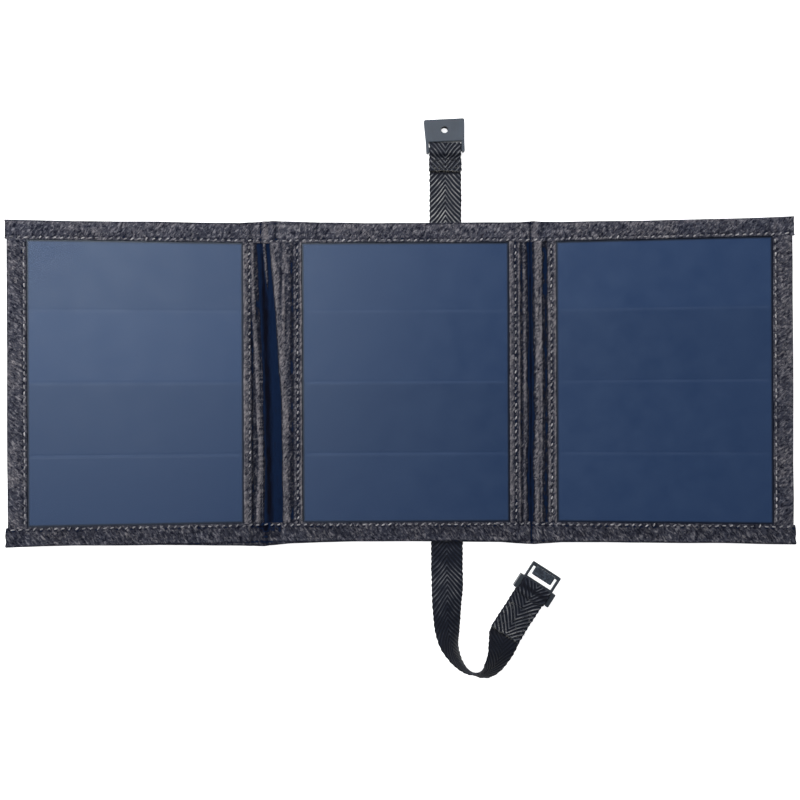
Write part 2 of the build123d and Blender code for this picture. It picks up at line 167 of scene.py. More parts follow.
def add_mesh(name, points, faces, material, uv=None, values=None, raw=False):
    """A smooth-shaded object from flat-drawn points: uv in millimetres of cloth, values point by point."""
    mesh = bpy.data.meshes.new(name)
    verts = np.asarray(points, float) * MM + SHIFT if raw else settle(points)
    mesh.from_pydata(verts.tolist(), [], faces.tolist() if hasattr(faces, "tolist") else faces)
    if uv is not None:
        layer = mesh.uv_layers.new(name="Cloth")
        index = np.empty(len(mesh.loops), int)
        mesh.loops.foreach_get("vertex_index", index)
        layer.data.foreach_set("uv", (np.asarray(uv, float) * 0.01)[index].astype(np.float32).ravel())
    for key, numbers in (values or {}).items():
        attribute = mesh.attributes.new(key, "FLOAT", "POINT")
        attribute.data.foreach_set("value", np.asarray(numbers, np.float32).ravel())
    mesh.polygons.foreach_set("use_smooth", np.ones(len(mesh.polygons), bool))
    mesh.materials.append(material)
    mesh.update()
    obj = bpy.data.objects.new(name, mesh)
    bpy.context.scene.collection.objects.link(obj)
    return obj


def outward(obj):
    """Turns the faces of a closed mesh so that they all look out."""
    bm = bmesh.new()
    bm.from_mesh(obj.data)
    bmesh.ops.recalc_face_normals(bm, faces=bm.faces)
    bm.to_mesh(obj.data)
    bm.free()
    return obj


def at_row(x, y=0.0, z=FOLD_Z):
    """A point of the flat drawing as a tuple in the row's frame at rest."""
    return tuple(settle([(x, y, z)])[0])


# ---- materials ----
def new_material(name):
    material = bpy.data.materials.new(name)
    material.use_nodes = True
    tree = material.node_tree
    shader = tree.nodes["Principled BSDF"]
    return material, tree, shader


def node(tree, kind, inputs=(), **settings):
    made = tree.nodes.new(kind)
    for key, value in settings.items():
        setattr(made, key, value)
    for key, value in dict(inputs).items():
        if isinstance(value, bpy.types.NodeSocket):
            tree.links.new(value, made.inputs[key])
        else:
            made.inputs[key].default_value = value
    return made


def ramp(tree, source, stops):
    made = tree.nodes.new("ShaderNodeValToRGB")
    elements = made.color_ramp.elements
    while len(elements) < len(stops):
        elements.new(0.5)
    for element, (at, colour) in zip(elements, stops):
        element.position = at
        element.color = (*colour, 1) if len(colour) == 3 else colour
    tree.links.new(source, made.inputs[0])
    return made.outputs[0]


def bump(tree, height, strength, distance, under=None):
    inputs = {"Height": height, "Strength": strength, "Distance": distance}
    if under is not None:
        inputs["Normal"] = under
    return node(tree, "ShaderNodeBump", inputs).outputs[0]


CREST_HIGHLIGHT_AND_WEAR = (0.27, 0.25, 0.265)  # pale ridges of cloth: painted highlight on the crests, with some wear
# painted shade for cloth in folds, darker and darker: dark, navy, black
SHADE_DARK, SHADE_NAVY, SHADE_BLACK = (0.002, 0.003, 0.010), (0.0030, 0.0120, 0.042), (0.0005, 0.0010, 0.006)


def mix(tree, share, a, b, blend="MIX"):
    """Colour a turning into b. A plain tuple stands for a constant colour."""
    inputs = {"Factor": share}
    for key, value in (("A", a), ("B", b)):
        inputs[key] = (*value, 1) if isinstance(value, tuple) else value
    made = tree.nodes.new("ShaderNodeMix")
    made.data_type, made.blend_type = "RGBA", blend
    sockets = {"Factor": made.inputs[0], "A": made.inputs[6], "B": made.inputs[7]}
    for key, value in inputs.items():
        if isinstance(value, bpy.types.NodeSocket):
            tree.links.new(value, sockets[key])
        else:
            sockets[key].default_value = value
    return made.outputs[2]


def maths(tree, kind, a, b=0.0):
    return node(tree, "ShaderNodeMath", {0: a, 1: b}, operation=kind).outputs[0]


def coordinates(tree, kind, scale):
    """UV or object coordinates, scaled so that 1 is a millimetre times 1/scale."""
    source = node(tree, "ShaderNodeTexCoord").outputs[kind]
    per_mm = 100.0 if kind == "UV" else 1000.0
    size = (per_mm / scale,) * 3 if not isinstance(scale, tuple) else tuple(per_mm / s for s in scale)
    return node(tree, "ShaderNodeMapping", {"Vector": source, "Scale": size}).outputs[0]


def speckle(tree, kind, size, detail, **more):
    """Soft noise with lumps about this many millimetres wide."""
    inputs = {"Vector": coordinates(tree, kind, size), "Scale": 1.0, "Detail": detail, **more}
    return node(tree, "ShaderNodeTexNoise", inputs)


def cloth_material(name, dark, middle, light, grain=1.7, weave=0.9, depth=0.35, contrast=0.13, relief=True):
    """Woven cloth: plain-weave threads, a tweed-like grain of light and dark yarns, faded patches and fuzz.

    Its mesh says with "relief" where folds get a painted highlight, with some wear (up to 1), and where
    painted shade darkens them (down to -1)."""
    material, tree, shader = new_material(name)
    place = coordinates(tree, "UV", 1.0)
    stroke = (grain * 0.0075, grain * 0.017, grain * 0.01)  # the yarns' slubs run aslant
    uv = node(tree, "ShaderNodeTexCoord").outputs["UV"]
    turned = {"Vector": uv, "Rotation": (0, 0, -0.6), "Scale": stroke}
    grain_at = node(tree, "ShaderNodeMapping", turned, vector_type="TEXTURE").outputs[0]
    noise_inputs = {"Vector": grain_at, "Scale": 1.0, "Detail": 2.0, "Roughness": 0.55, "Distortion": 0.7}
    lumps = node(tree, "ShaderNodeTexNoise", noise_inputs)
    stops = [(0.5 - 1.3 * contrast, dark), (0.5 - 0.35 * contrast, middle), (0.5 + 0.3 * contrast, middle)]
    yarns = ramp(tree, lumps.outputs[0], [*stops, (0.5 + 1.5 * contrast, light)])
    flecks = node(tree, "ShaderNodeTexVoronoi", {"Vector": coordinates(tree, "UV", 0.9), "Scale": 1.0})
    chosen = node(tree, "ShaderNodeSeparateColor", {0: flecks.outputs["Color"]}).outputs[0]
    pale = maths(tree, "MULTIPLY", maths(tree, "GREATER_THAN", chosen, 0.88), 0.22)
    flecked = mix(tree, pale, yarns, light)
    black = maths(tree, "MULTIPLY", maths(tree, "LESS_THAN", chosen, 0.10), 0.55)
    flecked = mix(tree, black, flecked, dark)
    patches = speckle(tree, "UV", 22.0, 2.0)
    fade = ramp(tree, patches.outputs[0], [(0.3, (0.74, 0.77, 0.83)), (0.7, (1.15, 1.12, 1.06))])
    coloured = mix(tree, 1.0, flecked, fade, "MULTIPLY")
    if relief:
        # painted light and shade: a painted highlight on crests, with some wear; painted shade, then navy and
        # black painted shade, in the folds
        height = node(tree, "ShaderNodeAttribute", attribute_name="relief").outputs["Fac"]
        painted_shade = maths(tree, "MAXIMUM", maths(tree, "MULTIPLY", height, -1.0), 0.0)
        high = maths(tree, "MAXIMUM", height, 0.0)
        patchy = maths(tree, "SUBTRACT", maths(tree, "MULTIPLY", lumps.outputs[0], 3.0), 0.85)
        worn = mix(tree, maths(tree, "MULTIPLY", high, maths(tree, "MULTIPLY", patchy, 0.85)), coloured, CREST_HIGHLIGHT_AND_WEAR)
        sunk = mix(tree, maths(tree, "MINIMUM", painted_shade, 1.0), worn, SHADE_DARK)
        navy_shade = maths(tree, "MULTIPLY", maths(tree, "SUBTRACT", painted_shade, 0.84), 8.0)
        sunk = mix(tree, maths(tree, "MINIMUM", maths(tree, "MAXIMUM", navy_shade, 0.0), 1.0), sunk, SHADE_NAVY)
        black = maths(tree, "MULTIPLY", maths(tree, "SUBTRACT", painted_shade, 1.0), 4.0)
        coloured = mix(tree, maths(tree, "MINIMUM", maths(tree, "MAXIMUM", black, 0.0), 1.0), sunk, SHADE_BLACK)
    tree.links.new(coloured, shader.inputs["Base Color"])
    split = node(tree, "ShaderNodeSeparateXYZ", {0: place})
    warp = maths(tree, "SINE", maths(tree, "MULTIPLY", split.outputs[0], 2 * math.pi / weave))
    weft = maths(tree, "SINE", maths(tree, "MULTIPLY", split.outputs[1], 2 * math.pi / weave))
    fine = bump(tree, maths(tree, "MULTIPLY", warp, weft), 0.5, 0.00012)
    tree.links.new(bump(tree, lumps.outputs[0], depth, 0.0011, fine), shader.inputs["Normal"])
    shader.inputs["Roughness"].default_value = 0.92
    shader.inputs["Specular IOR Level"].default_value = 0.1
    shader.inputs["Sheen Weight"].default_value = 0.04
    shader.inputs["Sheen Roughness"].default_value = 0.4
    return material


def webbing_material():
    """Herringbone webbing: its ribs are in the mesh; this adds strands, ribs painted pale with wear and
    painted highlight, and furrows darkened with painted shade.
    """
    material, tree, shader = new_material("webbing")
    rib = node(tree, "ShaderNodeAttribute", attribute_name="rib").outputs["Fac"]
    worn = node(tree, "ShaderNodeAttribute", attribute_name="worn").outputs["Fac"]
    strands = speckle(tree, "UV", (0.9, 0.28, 1.0), 3.0, Distortion=0.4)
    patches = speckle(tree, "UV", 7.0, 2.0)
    patchy = maths(tree, "ADD", worn, maths(tree, "SUBTRACT", patches.outputs[0], 0.5))
    uneven = maths(tree, "MULTIPLY", maths(tree, "SUBTRACT", strands.outputs[0], 0.5), 0.35)
    # ribs pale from wear and painted highlight, furrows dark from painted shade
    lit = maths(tree, "ADD", maths(tree, "MULTIPLY", rib, patchy), uneven)
    stops = [(0.0, (0.002, 0.003, 0.009)), (0.33, (0.008, 0.012, 0.026)), (0.6, (0.095, 0.10, 0.115))]
    colour = ramp(tree, lit, [*stops, (0.92, (0.46, 0.45, 0.44))])
    tree.links.new(colour, shader.inputs["Base Color"])
    tree.links.new(bump(tree, strands.outputs[0], 0.5, 0.0003), shader.inputs["Normal"])
    shader.inputs["Roughness"].default_value = 0.62
    shader.inputs["Specular IOR Level"].default_value = 0.2
    shader.inputs["Sheen Weight"].default_value = 0.03
    return material


def thread_material(name, shades):
    material, tree, shader = new_material(name)
    twist = speckle(tree, "Object", 0.5, 2.0)
    tone = speckle(tree, "Object", 4.0, 1.0)
    colour = ramp(tree, tone.outputs[0], list(zip((0.35, 0.55, 0.7), shades)))
    tree.links.new(colour, shader.inputs["Base Color"])
    tree.links.new(bump(tree, twist.outputs[0], 0.4, 0.0002), shader.inputs["Normal"])
    shader.inputs["Roughness"].default_value = 0.55
    return material


def film_material():
    """Clear satin film with a fine embossed grain, over the cells, with painted shadow along its edges beside
    the tapes and hems.
    """
    material, tree, shader = new_material("front_film")
    pimples = {"Vector": coordinates(tree, "Object", 0.55), "Scale": 1.0, "Randomness": 0.85}
    emboss = node(tree, "ShaderNodeTexVoronoi", pimples, feature="SMOOTH_F1")
    waves = speckle(tree, "Object", 30.0, 2.0)
    handled = speckle(tree, "Object", 14.0, 4.0, Roughness=0.6)
    edge = node(tree, "ShaderNodeAttribute", attribute_name="edge").outputs["Fac"]
    haze = ramp(tree, handled.outputs[0], [(0.3, (0.023, 0.054, 0.142)), (0.7, (0.028, 0.062, 0.154))])
    tone = node(tree, "ShaderNodeAttribute", attribute_name="tone").outputs["Fac"]
    toned = mix(tree, 1.0, haze, maths(tree, "ADD", maths(tree, "MULTIPLY", tone, 0.12), 1.0), "MULTIPLY")
    between = node(tree, "ShaderNodeAttribute", attribute_name="gap").outputs["Fac"]
    toned = mix(tree, between, toned, (0.040, 0.077, 0.178))
    # painted shadow where the film meets the tapes and hems
    colour = mix(tree, edge, toned, (0.002, 0.0035, 0.014))
    tree.links.new(colour, shader.inputs["Base Color"])
    rough = ramp(tree, handled.outputs[0], [(0.3, (0.36, 0.36, 0.36)), (0.7, (0.46, 0.46, 0.46))])
    tree.links.new(rough, shader.inputs["Roughness"])
    fine = bump(tree, emboss.outputs[0], 0.10, 0.0002)
    tree.links.new(bump(tree, waves.outputs[0], 0.25, 0.0006, fine), shader.inputs["Normal"])
    shader.inputs["Alpha"].default_value = 0.72
    shader.inputs["Specular IOR Level"].default_value = 0.45
    shader.inputs["Specular Tint"].default_value = (0.80, 0.90, 1.0, 1)
    return material


def cell_material():
    """Dark blue silicon with hair-thin fingers and a slight change of blue from place to place."""
    material, tree, shader = new_material("cells")
    tone = speckle(tree, "Object", 26.0, 3.0)
    blue = ramp(tree, tone.outputs[0], [(0.3, (0.010, 0.044, 0.150)), (0.7, (0.015, 0.056, 0.180))])
    bands = {"Vector": coordinates(tree, "Object", 1.0), "Scale": 0.35}
    fingers = node(tree, "ShaderNodeTexWave", bands, wave_type="BANDS", bands_direction="Y")
    line = maths(tree, "GREATER_THAN", fingers.outputs[1], 0.985)
    mixed = mix(tree, maths(tree, "MULTIPLY", line, 0.12), blue, (0.35, 0.38, 0.42))
    tree.links.new(mixed, shader.inputs["Base Color"])
    shader.inputs["Roughness"].default_value = 0.25
    return material


def moulded_material(name, dark, light, rough=0.5, grain=0.35, scuff=0.12, mottle=0.0):
    """Moulded plastic with a fine spark-eroded grain, faint flow marks and paler scuffs."""
    material, tree, shader = new_material(name)
    flow = speckle(tree, "Object", (6.0, 14.0, 6.0), 3.0)
    pits = speckle(tree, "Object", grain, 2.0)
    scratches = speckle(tree, "Object", (0.5, 5.0, 1.0), 3.0, Distortion=1.2)
    base = ramp(tree, flow.outputs[0], [(0.3, dark), (0.7, light)])
    marks = maths(tree, "MULTIPLY", maths(tree, "GREATER_THAN", scratches.outputs[0], 0.66), scuff)
    worn = tuple(min(1.0, c * 2.2 + 0.02) for c in light)
    colour = mix(tree, marks, base, worn)
    if mottle:
        spots = ramp(tree, pits.outputs[0], [(0.46, (0, 0, 0)), (0.6, (mottle,) * 3)])
        colour = mix(tree, spots, colour, worn)
    tree.links.new(colour, shader.inputs["Base Color"])
    tree.links.new(bump(tree, pits.outputs[0], 0.3 + mottle, 0.00018), shader.inputs["Normal"])
    shader.inputs["Roughness"].default_value = rough
    return material


def metal_material(name, colour, rough):
    material, tree, shader = new_material(name)
    brushed = speckle(tree, "Object", (0.15, 3.0, 0.15), 3.0)
    stain = speckle(tree, "Object", 2.5, 3.0)
    tint = ramp(tree, stain.outputs[0], [(0.3, tuple(c * 0.75 for c in colour)), (0.7, colour)])
    tree.links.new(tint, shader.inputs["Base Color"])
    sheen = ramp(tree, brushed.outputs[0], [(0.3, (rough * 0.7,) * 3), (0.7, (min(1, rough * 1.3),) * 3)])
    tree.links.new(sheen, shader.inputs["Roughness"])
    tree.links.new(bump(tree, brushed.outputs[0], 0.15, 0.0001), shader.inputs["Normal"])
    shader.inputs["Metallic"].default_value = 1.0
    return material


tape_colours = ((0.007, 0.008, 0.017), (0.056, 0.058, 0.080), (0.27, 0.26, 0.285))
gutter_colours = ((0.004, 0.006, 0.016), (0.038, 0.041, 0.060), (0.25, 0.24, 0.265))
TAPE_CLOTH = cloth_material("tape_cloth", *tape_colours, grain=1.7)
GUTTER_CLOTH = cloth_material("gutter_cloth", *gutter_colours, grain=1.5)
back_colours = ((0.012, 0.013, 0.017), (0.022, 0.023, 0.029), (0.045, 0.046, 0.052))
plain = {"grain": 2.2, "weave": 0.7, "depth": 0.12, "contrast": 0.2, "relief": False}
BACK_CLOTH = cloth_material("back_cloth", *back_colours, **plain)
WEBBING = webbing_material()
THREAD = thread_material("thread", ((0.14, 0.14, 0.16), (0.34, 0.33, 0.35), (0.58, 0.56, 0.58)))
FRAY_THREAD = thread_material("frayed_yarn", ((0.03, 0.03, 0.03), (0.12, 0.115, 0.10), (0.30, 0.28, 0.25)))
strap_shades = ((0.012, 0.013, 0.02), (0.03, 0.032, 0.04), (0.09, 0.09, 0.09))
STRAP_THREAD = thread_material("strap_thread", strap_shades)
FILM = film_material()
CELLS = cell_material()
resin_blues = ((0.008, 0.030, 0.100), (0.011, 0.038, 0.120))
RESIN = moulded_material("resin_backing", *resin_blues, rough=0.4, grain=0.8, scuff=0.0)
LATCH = moulded_material("latch_nylon", (0.023, 0.036, 0.058), (0.031, 0.047, 0.073), rough=0.46)
BUCKLE = moulded_material("buckle_nylon", (0.020, 0.026, 0.037), (0.032, 0.041, 0.054), rough=0.42, grain=0.7)
grip_greys = ((0.016, 0.021, 0.033), (0.030, 0.040, 0.056))
GRIP = moulded_material("buckle_grip", *grip_greys, rough=0.42, grain=1.3, mottle=0.6)
BOX = moulded_material("box_plastic", (0.014, 0.014, 0.016), (0.022, 0.022, 0.025), rough=0.55, grain=0.3)


# ---- cloth edge tape ----
# heights of the long tapes' front and back faces, as X and Z: high on the panels, kinked over the gutters
FRONT_LINE = (
    *((-250, 4.5), (-95.6, 4.5), (-93.9, 3.5), (-88.6, 3.35), (-86.4, 3.95), (-84.0, 2.85), (-81.0, 3.9)),
    *((-73.0, 4.1), (-69.0, 4.5), (67.2, 4.5), (70.2, 3.9), (74.8, 3.6), (76.8, 2.8), (79.3, 3.85)),
    *((82.0, 3.5), (86.0, 4.1), (87.4, 4.5), (250, 4.5)),
)
BACK_LINE = (
    *((-250, 1.2), (-95.4, 1.2), (-93.9, 1.3), (-71, 1.3), (-69.4, 1.2)),
    *((67.6, 1.2), (69.2, 1.3), (86.0, 1.3), (87.1, 1.2), (250, 1.2)),
)
# how far the long tapes' outer edge stands out: X, top, bottom
OUTER_EDGE = (
    *((-240, 0.2, 0.6), (-199, 0, -0.2), (-150, 0.8, 0.8)),
    *((-126, 0.5, 1.4), (-101, 0.6, 2.4), (-88, 1.8, 3.2)),
    *((-82, 2.2, 2.6), (-71, 1.7, 1.5), (-52, 1.0, 0.6), (-34, 1.0, 0.4), (-15, 0.5, 0.5), (3, 0.3, 0.5)),
    *((46, 0.5, 0.8), (58, 0.6, 0.9), (70, 0.8, 1.9), (78, 1.6, 2.5), (85, 1.0, 2.0), (95, 0.6, 1.2)),
    *((119, 0.4, 0.8), (143, 0, 0.5), (192, -0.5, 0.4), (232, 0.2, 0.7)),
)


def along_line(x, line, column=1):
    """A number that changes along X as a table's straight runs say."""
    table = np.array(line, float)
    return np.interp(x, table[:, 0], table[:, column])


def wave_top(x):
    return along_line(x, FRONT_LINE) + 0.12


def wave_low(x):
    return along_line(x, BACK_LINE)


def edge_bulge(x, up):
    """How far the long tapes' outer edge stands out, in millimetres."""
    return along_line(x, OUTER_EDGE, 1 if up > 0 else 2) + 0.28 * noise(x, up * 10 + 0 * x, 24, 9, 3)


STITCH_IN, PITCH = 10.3, 4.0  # stitches: how far in from a tape's outer edge, and how far apart


def tape_section(along, top, bottom, bulge, seed):
    """Points of a folded tape's skin for each place along it: distance in from the edge, and height."""
    n = 30 if COARSE == 1 else 16
    radius = 1.15
    a = along[:, None]
    front_v = np.linspace(TAPE_LEG, radius, n)[None, :]
    corner = np.linspace(math.pi / 2, -math.pi / 2, 9)[None, :]
    back_v = np.linspace(radius, TAPE_LEG, n // 2)[None, :]
    middle, half = ((top + bottom) / 2)[:, None], ((top - bottom) / 2)[:, None]

    def relief(v, side):
        ripple = 0.10 * noise(a, v + 40 * side, 1.9, 2.3, seed + side)
        ripple = ripple + 0.13 * noise(a, v, 7, 6, seed + 5 + side)
        groove = -0.22 * hump(v, STITCH_IN, 0.7) * (0.75 + 0.25 * np.cos(2 * math.pi * a / 4.0))
        pillow = 0.16 * np.sin(math.pi * np.clip((v - 1) / (STITCH_IN - 1), 0, 1))
        lip = -0.25 * smooth((v - TAPE_LEG + 0.5) / 0.5)
        return ripple + groove + pillow + lip

    wobble = 0.22 * noise(a, 0 * a + seed, 9, 9, seed + 9) + 0.14 * noise(a, 0 * a + seed, 2.2, 9, seed + 2)
    fv = front_v + 0 * a
    fv = fv + wobble * smooth((fv - STITCH_IN) / (TAPE_LEG - STITCH_IN))
    fz = top[:, None] + relief(fv, 1)
    cv = radius - radius * np.cos(corner) + 0 * a
    cz = middle + half * np.sin(corner)
    bv = back_v + 0 * a
    bv = bv + wobble * smooth((bv - STITCH_IN) / (TAPE_LEG - STITCH_IN))
    bz = bottom[:, None] - 0.4 * relief(bv, 2)
    inner_v = np.concatenate([np.linspace(TAPE_LEG, 1.6, 4), np.linspace(1.6, TAPE_LEG, 4)])[None, :] + 0 * a
    inner_v[:, 0] = bv[:, -1]
    inner_v[:, -1] = fv[:, 0]
    low_z, high_z = np.repeat((bottom + 0.5)[:, None], 4, 1), np.repeat((top - 0.55)[:, None], 4, 1)
    inner_z = np.concatenate([low_z, high_z], axis=1)
    v = np.concatenate([fv, cv, bv, inner_v], axis=1)
    z = np.concatenate([fz, cz, bz, inner_z], axis=1)
    v = v - bulge[:, None] * (1 - smooth(v / 9))
    girth = np.concatenate([[0], np.cumsum(np.full(v.shape[1] - 1, 24.0 / v.shape[1]))])
    return v, z, girth


def tape_relief(along, v, seed):
    """Pale and dark spots of a tape's front: painted shade in the dimples between its stitches, and lumps of
    the cloth.
    """
    # painted shade in the needle holes between the stitches
    hole_shade = 0.75 * hump(v, STITCH_IN - 0.9, 0.55) * (0.5 - 0.5 * np.cos(2 * math.pi * along / PITCH))
    lumps = 0.30 * noise(along, v, 1.5, 2.0, seed) + 0.22 * noise(along, v, 5, 4, seed + 1)
    return lumps - hole_shade - 0.5 * hump(v, 0, 0.5) + 0.25 * hump(v, 1.6, 0.9)


def crease_light_and_shade(x, up):
    """Where the long tapes crease over the gutters: a painted highlight on a crest, painted shade in a
    crease.
    """
    if up > 0:
        left = 0.95 * hump(x, -86.0, 1.3) - 1.1 * hump(x, -88.5, 0.7)
        left = left - 0.9 * hump(x, -79.6, 1.1) + 0.4 * hump(x, -77.0, 0.9)
    else:
        left = -0.65 * hump(x, -85.5, 6.0) - 0.5 * hump(x, -77.5, 0.9) + 0.45 * hump(x, -75.5, 0.8)
    right = 0.6 * hump(x, 79.6, 1.7) - 1.0 * hump(x, 76.7, 0.7) - 0.35 * hump(x, 83.6, 0.9)
    return left + right


def long_tape(name, up, x0, x1):
    """A stretch of the tape along the top (up = 1) or bottom edge."""
    xs = np.linspace(x0, x1, max(8, int(abs(x1 - x0) / (0.55 * COARSE))))
    seed = 20 if up > 0 else 31
    v, z, girth = tape_section(xs, wave_top(xs), wave_low(xs), edge_bulge(xs, up), seed)
    x = np.repeat(xs[:, None], v.shape[1], 1)
    for end, out in zip(TAPE_ENDS, (-1, 1)):  # the tape's own ends are cut a little out of square
        near = smooth(1 - np.abs(x - end) / 3)
        x = x + out * near * 0.5 * noise(v, 0 * v, 3, 3, seed + 4)
    points = np.stack([x, up * (HALF - v), z], axis=2).reshape(-1, 3)
    uv = np.stack([x, np.repeat(girth[None, :], len(xs), 0) + 50 * up], axis=2).reshape(-1, 2)
    tape_shade_offset = 0.04 if up > 0 else 0.30  # painted shade: the lower tape darker, as the light falls from the top
    relief = tape_relief(x, v, seed) + crease_light_and_shade(x, up) - tape_shade_offset
    faces = grid_faces(len(xs), v.shape[1], close_columns=True)
    return outward(add_mesh(name, points, faces, TAPE_CLOTH, uv, {"relief": relief}))


def end_tape(name, side):
    out = -1 if side == "left" else 1
    edge = (WINDOWS[side][0] if side == "left" else WINDOWS[side][1]) + out * TAPE_LEG
    ys = np.linspace(-WINDOW_HALF - 0.5, WINDOW_HALF + 0.5, int(172 / (0.55 * COARSE)))
    seed = 44 if side == "left" else 57
    top = TAPE_TOP + 0.02 - 0.25 * smooth((np.abs(ys) - WINDOW_HALF + 1.5) / 1.5)
    bulge = 0.15 * noise(ys, 0 * ys, 20, 9, seed)
    v, z, girth = tape_section(ys, top, np.full_like(ys, TAPE_LOW), bulge, seed)
    y = np.repeat(ys[:, None], v.shape[1], 1)
    points = np.stack([edge - out * v, y, z], axis=2).reshape(-1, 3)
    uv = np.stack([y + 300, np.repeat(girth[None, :], len(ys), 0) + 90 * out], axis=2).reshape(-1, 2)
    faces = grid_faces(len(ys), v.shape[1], close_columns=True)
    return outward(add_mesh(name, points, faces, TAPE_CLOTH, uv, {"relief": tape_relief(y, v, seed)}))


# ---- slack gutter cloth ----
HEM_REACH, SLACK = WINDOW_HALF + 4, 1.12  # half the gutter cloths' length; flat width over drawn width
HEM_COUNT = int((2 * WINDOW_HALF - 2) / 4.0)
HEM_START, HEM_PITCH = -WINDOW_HALF + 1, (2 * WINDOW_HALF - 2) / HEM_COUNT
HEM_EDGES = ((-99.3, -1), (-63.5, 1), (63.5, -1), (92.1, 1))  # X of each hem's edge, and which way it faces
HEM_STITCH = {"left_wing": -95.6, "middle_left": -66.2, "middle_right": 67.3, "right_wing": 89.2}
FLAP_Y, FLAP_X = (-86, -37, 2, 26, 51, 86), (-76.8, -77.0, -78.4, -79.4, -81.4, -84.0)  # the flap's edge


def left_gutter(x, y):
    """Front face of the cloth between the left and middle panels: height, and how deep in shade it lies."""
    flap = np.interp(y, FLAP_Y, FLAP_X) + 0.6 * noise(y, 0 * y, 17, 9, 61)
    long_folds = noise(x, y, 2.6, 34, 62) * 0.34 + noise(x, y, 1.5, 9, 63) * 0.2
    wing_hem = 4.62 - 0.42 * hump(x, HEM_STITCH["left_wing"], 0.9) - 0.35 * smooth((-98.9 - x) / 0.5)
    # the ridge wanders as it runs
    sway = np.interp(y, (-86, -50, 2, 51, 86), (-90.6, -89.6, -91.0, -93.2, -94.4))
    ridge = 2.6 + 1.75 * hump(x, sway + 0.5 * noise(y, 0 * y, 30, 9, 64), 1.9)
    z = wing_hem + (ridge - wing_hem) * smooth((x + 95.4) / 1.7)
    top_fold = 1.0 * hump(x, -86.6 + (WINDOW_HALF - y) * 0.07, 1.0) * smooth((y - 48) / 30)
    z = z + top_fold
    flap_rise = smooth((x - flap) / 2.4)
    flap_z = 4.65 + 0.6 * hump(x, -74.6, 1.0) - 0.5 * hump(x, -69.3, 1.5)
    flap_z = flap_z + 0.45 * hump(x, flap + 2.9, 0.9) * smooth((y - 5) / 30)
    z = z + (flap_z - z) * flap_rise * (x > flap)
    middle_hem = 4.66 - 0.42 * hump(x, HEM_STITCH["middle_left"], 0.9) - 0.35 * smooth((x + 63.9) / 0.5)
    z = z + (middle_hem - z) * smooth((x + 68.9) / 1.4)
    slack = smooth((x + 95.0) / 2) * (1 - smooth((x + 69.5) / 2))
    z = z + long_folds * (0.18 + 0.82 * slack)
    # painted shade: in the valley past the ridge, black at its darkest, along the stitch rows, and in the
    # fold at -69.3
    painted_shade = 0.93 * smooth((x - sway - 1.6) / 2.6) * (1 - flap_rise) * (1 - 0.9 * np.clip(top_fold, 0, 1))
    black = 0.28 * hump(x, np.interp(y, (-86, 2, 86), (-83.9, -85.0, -87.2)), 2.2) * (painted_shade > 0.6)
    groove = 0.45 * np.maximum(hump(x, HEM_STITCH["left_wing"], 0.7), hump(x, HEM_STITCH["middle_left"], 0.7))
    return z, np.maximum(np.maximum(painted_shade + black, groove), 0.45 * hump(x, -69.3, 1.5))


def right_gutter(x, y):
    """Front face of the cloth between the middle and right panels: height, and how deep in painted shade it
    lies.
    """
    sway = 0.8 * noise(y, 0 * y, 38, 9, 71)
    long_folds = noise(x, y, 2.3, 30, 72) * 0.30 + noise(x, y, 1.4, 8, 73) * 0.2
    middle_hem = 4.66 - 0.42 * hump(x, HEM_STITCH["middle_right"], 0.9) - 0.35 * smooth((63.9 - x) / 0.5)
    wing_hem = 4.66 - 0.42 * hump(x, HEM_STITCH["right_wing"], 0.9) - 0.35 * smooth((x - 91.6) / 0.5)
    floor = 2.75 + 2.1 * hump(x, 69.4, 1.2) + 1.5 * hump(x, 72.6 + sway * 0.5, 1.7)
    floor = floor + 2.0 * hump(x, 80.8 + sway, 2.0) + 1.0 * hump(x, 83.2 + 0.5 * sway, 0.9)
    z = middle_hem + (floor - middle_hem) * smooth((x - 68.0) / 1.2)
    z = z + (wing_hem - z) * smooth((x - 86.3) / 1.6)
    slack = smooth((x - 68.0) / 2) * (1 - smooth((x - 86.5) / 2))
    z = z + long_folds * (0.18 + 0.82 * slack)
    # painted shade in the valleys, and along the stitch rows
    painted_shade = 1.15 * hump(x, 76.6 + sway * 0.6, 2.0) + 0.75 * hump(x, 85.9 + 0.3 * sway, 1.1)
    painted_shade = painted_shade + 0.35 * hump(x, 71.6, 1.2)
    sewn = np.maximum(hump(x, HEM_STITCH["middle_right"], 0.7), hump(x, HEM_STITCH["right_wing"], 0.7))
    groove = 0.45 * sewn
    return z, np.maximum(painted_shade, groove)


def under_cloth(x, y):
    """Back face of the gutter cloth: flat under the gutters, on the film where it is hemmed."""
    on_film = FILM_TOP + 0.05
    under = 1.92 - 0.1 * noise(x, y, 3.0, 26, 81)
    cut = [-95.1, -94.5, -69.9, -69.3, 67.5, 68.1, 86.5, 87.1]
    share = np.interp(x, cut, [0, 1, 1, 0, 0, 1, 1, 0])
    return on_film + (under - on_film) * share


def blurred(z, cells):
    """Heights smoothed along the first axis over this many cells."""
    reach = int(math.ceil(3 * cells))
    weights = np.exp(-0.5 * (np.arange(-reach, reach + 1) / cells) ** 2)
    padded = np.pad(z, ((reach, reach), (0, 0)), mode="edge")
    return sum(w * padded[i : i + len(z)] for i, w in enumerate(weights / weights.sum()))


